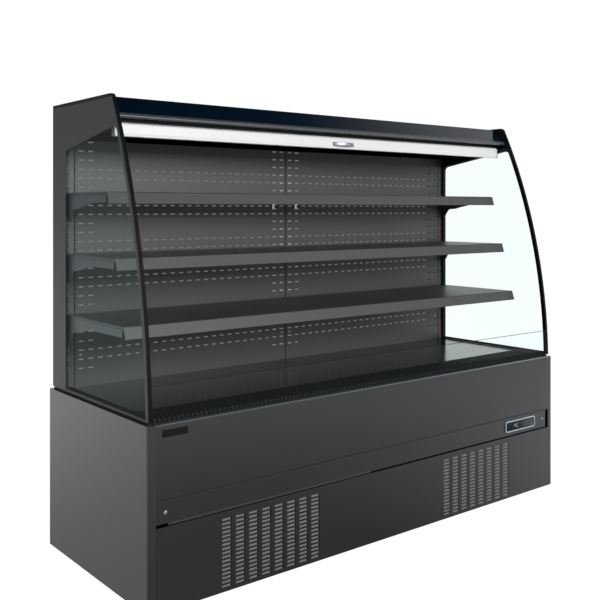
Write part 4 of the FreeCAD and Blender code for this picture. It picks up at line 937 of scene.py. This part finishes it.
def controller(silver, black_glass, glow, faint):
    """Surround with its can behind the strip, display face, two digits, and a mark on each key."""
    x, z = CTRL
    rim = rounded_block("controller_rim", x, z, 190.0, 44.0, 10.0, -351.5, FRONT, 1.4)
    window = rounded_block("window", x, z, 182.0, 36.0, 6.0, -352.5, -346.5, 0.0)
    use(rim, "BOOLEAN", object=window, operation="DIFFERENCE", solver="EXACT")
    bpy.data.objects.remove(window)
    case = block("controller_can", (x - 88.0, -346.9, z - 15.5), (x + 88.0, -333.5, z + 15.5))
    seat(smooth(join("controller_surround", [rim, case]), 30.0), "cabinet", silver, ["controller_housing"])
    # painted shadow: dark strip at the left side of the rim
    joint = block("controller_rim_shadow", (x - 97.2, -348.3, z - 20.0), (x - 94.6, FRONT, z + 20.0))
    seat(joint, "cabinet", faint)
    face = rounded_block("controller_glass", x, z, 180.0, 34.0, 5.5, -350.6, -348.6, 0.3)
    seat(smooth(face, 30.0), "cabinet", black_glass, ["controller_face"])
    tens = digit("digit_tens", x - 36.0, z, 7.0, 15.0, "bcfg")
    units = digit("digit_units", x - 24.0, z, 7.0, 15.0, "acdfg")
    seat(join("controller_digits", [tens, units]), "cabinet", glow)
    bar_mark = block("controller_bar", (x - 56.0, -350.9, z - 1.0), (x - 48.0, -350.5, z + 1.0))
    seat(bar_mark, "cabinet", faint)
    for n, name in enumerate(KEYS, 1):
        corners = [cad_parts[name].matrix_world @ Vector(c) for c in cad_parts[name].bound_box]
        kx = sum(c.x for c in corners) / 8 / MM
        kz = sum(c.z for c in corners) / 8 / MM
        across = block("mark", (kx - 2.4, -351.4, kz - 0.5), (kx + 2.4, -351.0, kz + 0.5))
        if n % 2:
            upright_bar = block("mark", (kx - 0.5, -351.4, kz - 2.0), (kx + 0.5, -351.0, kz + 2.0))
            across = join("mark", [across, upright_bar])
        seat(across, name, faint).name = name + "_mark"


# ---------------------------------------------------------------- scene
def dress_cad(finishes):
    """Gives every CAD node that stays its own finish."""
    for names, material in finishes:
        for name in names:
            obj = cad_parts[name]
            for slot in obj.material_slots:
                slot.material = material


def main():
    place_camera()
    light_studio()
    light_world()
    front = powder_coat("anthracite_front", (0.0065, 0.0075, 0.0105), 0.28, 0.03, 0.04, 0.38)
    # front coat with a painted highlight on its top fold
    front_fold = fold_highlight_coat("anthracite_front_fold", (0.0065, 0.0075, 0.0105), 0.24, BASE_TOP - 1.8)
    # side colour painted lighter than the front's as painted light; returns take the front's colour as
    # painted shade
    side = side_coat("anthracite_side_painted_light", (0.047, 0.054, 0.062), (0.0065, 0.0075, 0.0105))
    inner_steel = powder_coat("anthracite_inside", (0.057, 0.058, 0.059), 0.42, 0.05, 0.05, 0.35)
    shelf_steel = powder_coat("anthracite_shelf", (0.068, 0.069, 0.070), 0.40, 0.05, 0.05, 0.22)
    bracket_steel = powder_coat("anthracite_bracket", (0.095, 0.102, 0.106), 0.42, 0.05, 0.05, 0.3)
    deck_steel = powder_coat("anthracite_deck", (0.015, 0.0153, 0.0157), 0.16, 0.0, 0.04)
    frames = side_frame_coat("side_frame_coat", (0.066, 0.070, 0.076), (0.003, 0.003, 0.004))
    posts = upright_coat("upright_coat", (0.030, 0.032, 0.034), (0.34, 0.35, 0.36))
    black_edge_and_shade = powder_coat("black_edge_and_shade", (0.003, 0.0035, 0.004), 0.5, 0.05, 0.05, 0.06)
    ceiling = powder_coat("black_ceiling", (0.003, 0.003, 0.003), 0.3, 0.0, 0.04, 0.15)
    shade = powder_coat("dark_lip", (0.012, 0.012, 0.013), 0.5)
    navy = powder_coat("navy_gloss", (0.0012, 0.0075, 0.016), 0.14, 0.02, 0.03, 0.4)
    nose_grey = powder_coat("satin_grey", (0.050, 0.053, 0.057), 0.30, 0.05)
    white = powder_coat("white_coat", (0.78, 0.79, 0.80), 0.35, 0.04)
    void = powder_coat("void_black", (0.001, 0.001, 0.001), 1.0, 0.0, 0.0, 0.0)
    ribs = moulded("grid_ribs", (0.0035, 0.0045, 0.006), 0.5, 0.05, 0.15)
    plastic = moulded("black_plastic", (0.010, 0.010, 0.011), 0.5)
    filters = moulded("dust_filter", (0.172, 0.180, 0.184), 0.8)
    grey = moulded("grey_plastic", (0.20, 0.21, 0.22), 0.45)
    silver = moulded("silver_surround", (0.45, 0.56, 0.64), 0.25, 0.03)
    black_glass = moulded("black_display", (0.0025, 0.0025, 0.003), 0.10, 0.0, 0.12)
    glow = moulded("display_digits", (0.62, 0.64, 0.66), 0.4, 0.0)
    pale = moulded("pale_plug", (0.45, 0.46, 0.46), 0.5, 0.0)
    faint = moulded("display_marks", (0.022, 0.024, 0.027), 0.4, 0.0)
    handle_steel = satin_metal("satin_steel", (0.24, 0.25, 0.27), 0.34)
    zinc = brushed_zinc("galvanised", (0.52, 0.53, 0.54))
    clips = glowing_clip("glowing_clip")
    screw = brushed_zinc("screw_zinc", (0.24, 0.25, 0.26), 0.5)
    coil = brushed_zinc("coil_fins", (0.66, 0.67, 0.68), 0.35)
    copper = brushed_zinc("copper", (0.72, 0.36, 0.22), 0.3)
    side_glass = clear_pane("side_glass", (0.965, 1.0, 1.0), 0.02, 0.62)
    front_glass = clear_pane("front_glass", (0.985, 1.0, 1.0), 0.010)
    back_panels(inner_steel)
    uprights(posts, inner_steel)
    return_grid(ribs)
    front_panel(front_fold)
    grille_backs(filters, void)
    grip(shade, void)
    # the ground edge's grey glow is a painted reflection, as on the panes
    glass_edge(clear_pane("ground_edge", (0.45, 0.50, 0.50), 0.04))
    back_buttons(pale)
    gaskets_and_top_shade(void)
    dark_joints(void)
    plate_and_screws(black_glass, screw)
    shelf_clips(clips)
    canopy(navy, nose_grey)
    honeycomb(plastic)
    blind_bar(white, grey)
    blind_handle(handle_steel)
    blind_cloth(woven_cloth("blind_weave"))
    controller(silver, black_glass, glow, faint)
    dress_cad([
        (["control_strip", "lower_panel"], front),
        (["side_panel_left", "side_panel_right", "roof", "insulated_tank"], side),
        (["side_frame_left", "side_frame_right"], frames),
        (["shelf_1", "shelf_2", "shelf_3"], shelf_steel),
        (["shelf_brackets"], bracket_steel),
        (["ceiling_panel"], ceiling),
        (["deck_tray_left", "deck_tray_right", "duct_cover"], deck_steel),
        (["rear_wall"], liner("rear_wall_liner")),
        # the cassette is black as painted shade in the recess under the nose; the edge trims are black in
        # their own right
        (["front_edge_trims", "blind_cassette"], black_edge_and_shade),
        (["side_glass_left", "side_glass_right"], side_glass),
        (["front_glass"], front_glass),
        (["lamp"], lamp_cover("lamp_cover", 0.12)),
        (["condenser_fan", "evaporator_fan_1", "evaporator_fan_2", "evaporation_tray",
          "compressor"], plastic),
        (KEYS, faint),
        (["rear_base_panel", "base_frame", "evaporator_fan_plate", "condenser_shroud", "foot_1", "foot_2",
          "foot_3", "foot_4", "blind_roller"], zinc),
        (["evaporator", "condenser"], coil),
        (["refrigerant_pipes"], copper),
        (["drain_pipe", "electrical_box"], grey)])
    deselect()
    bpy.ops.mesh.primitive_plane_add(size=40)
    floor = bpy.context.object
    floor.name = "floor"
    floor.data.materials.append(white_floor("floor_white"))


main()
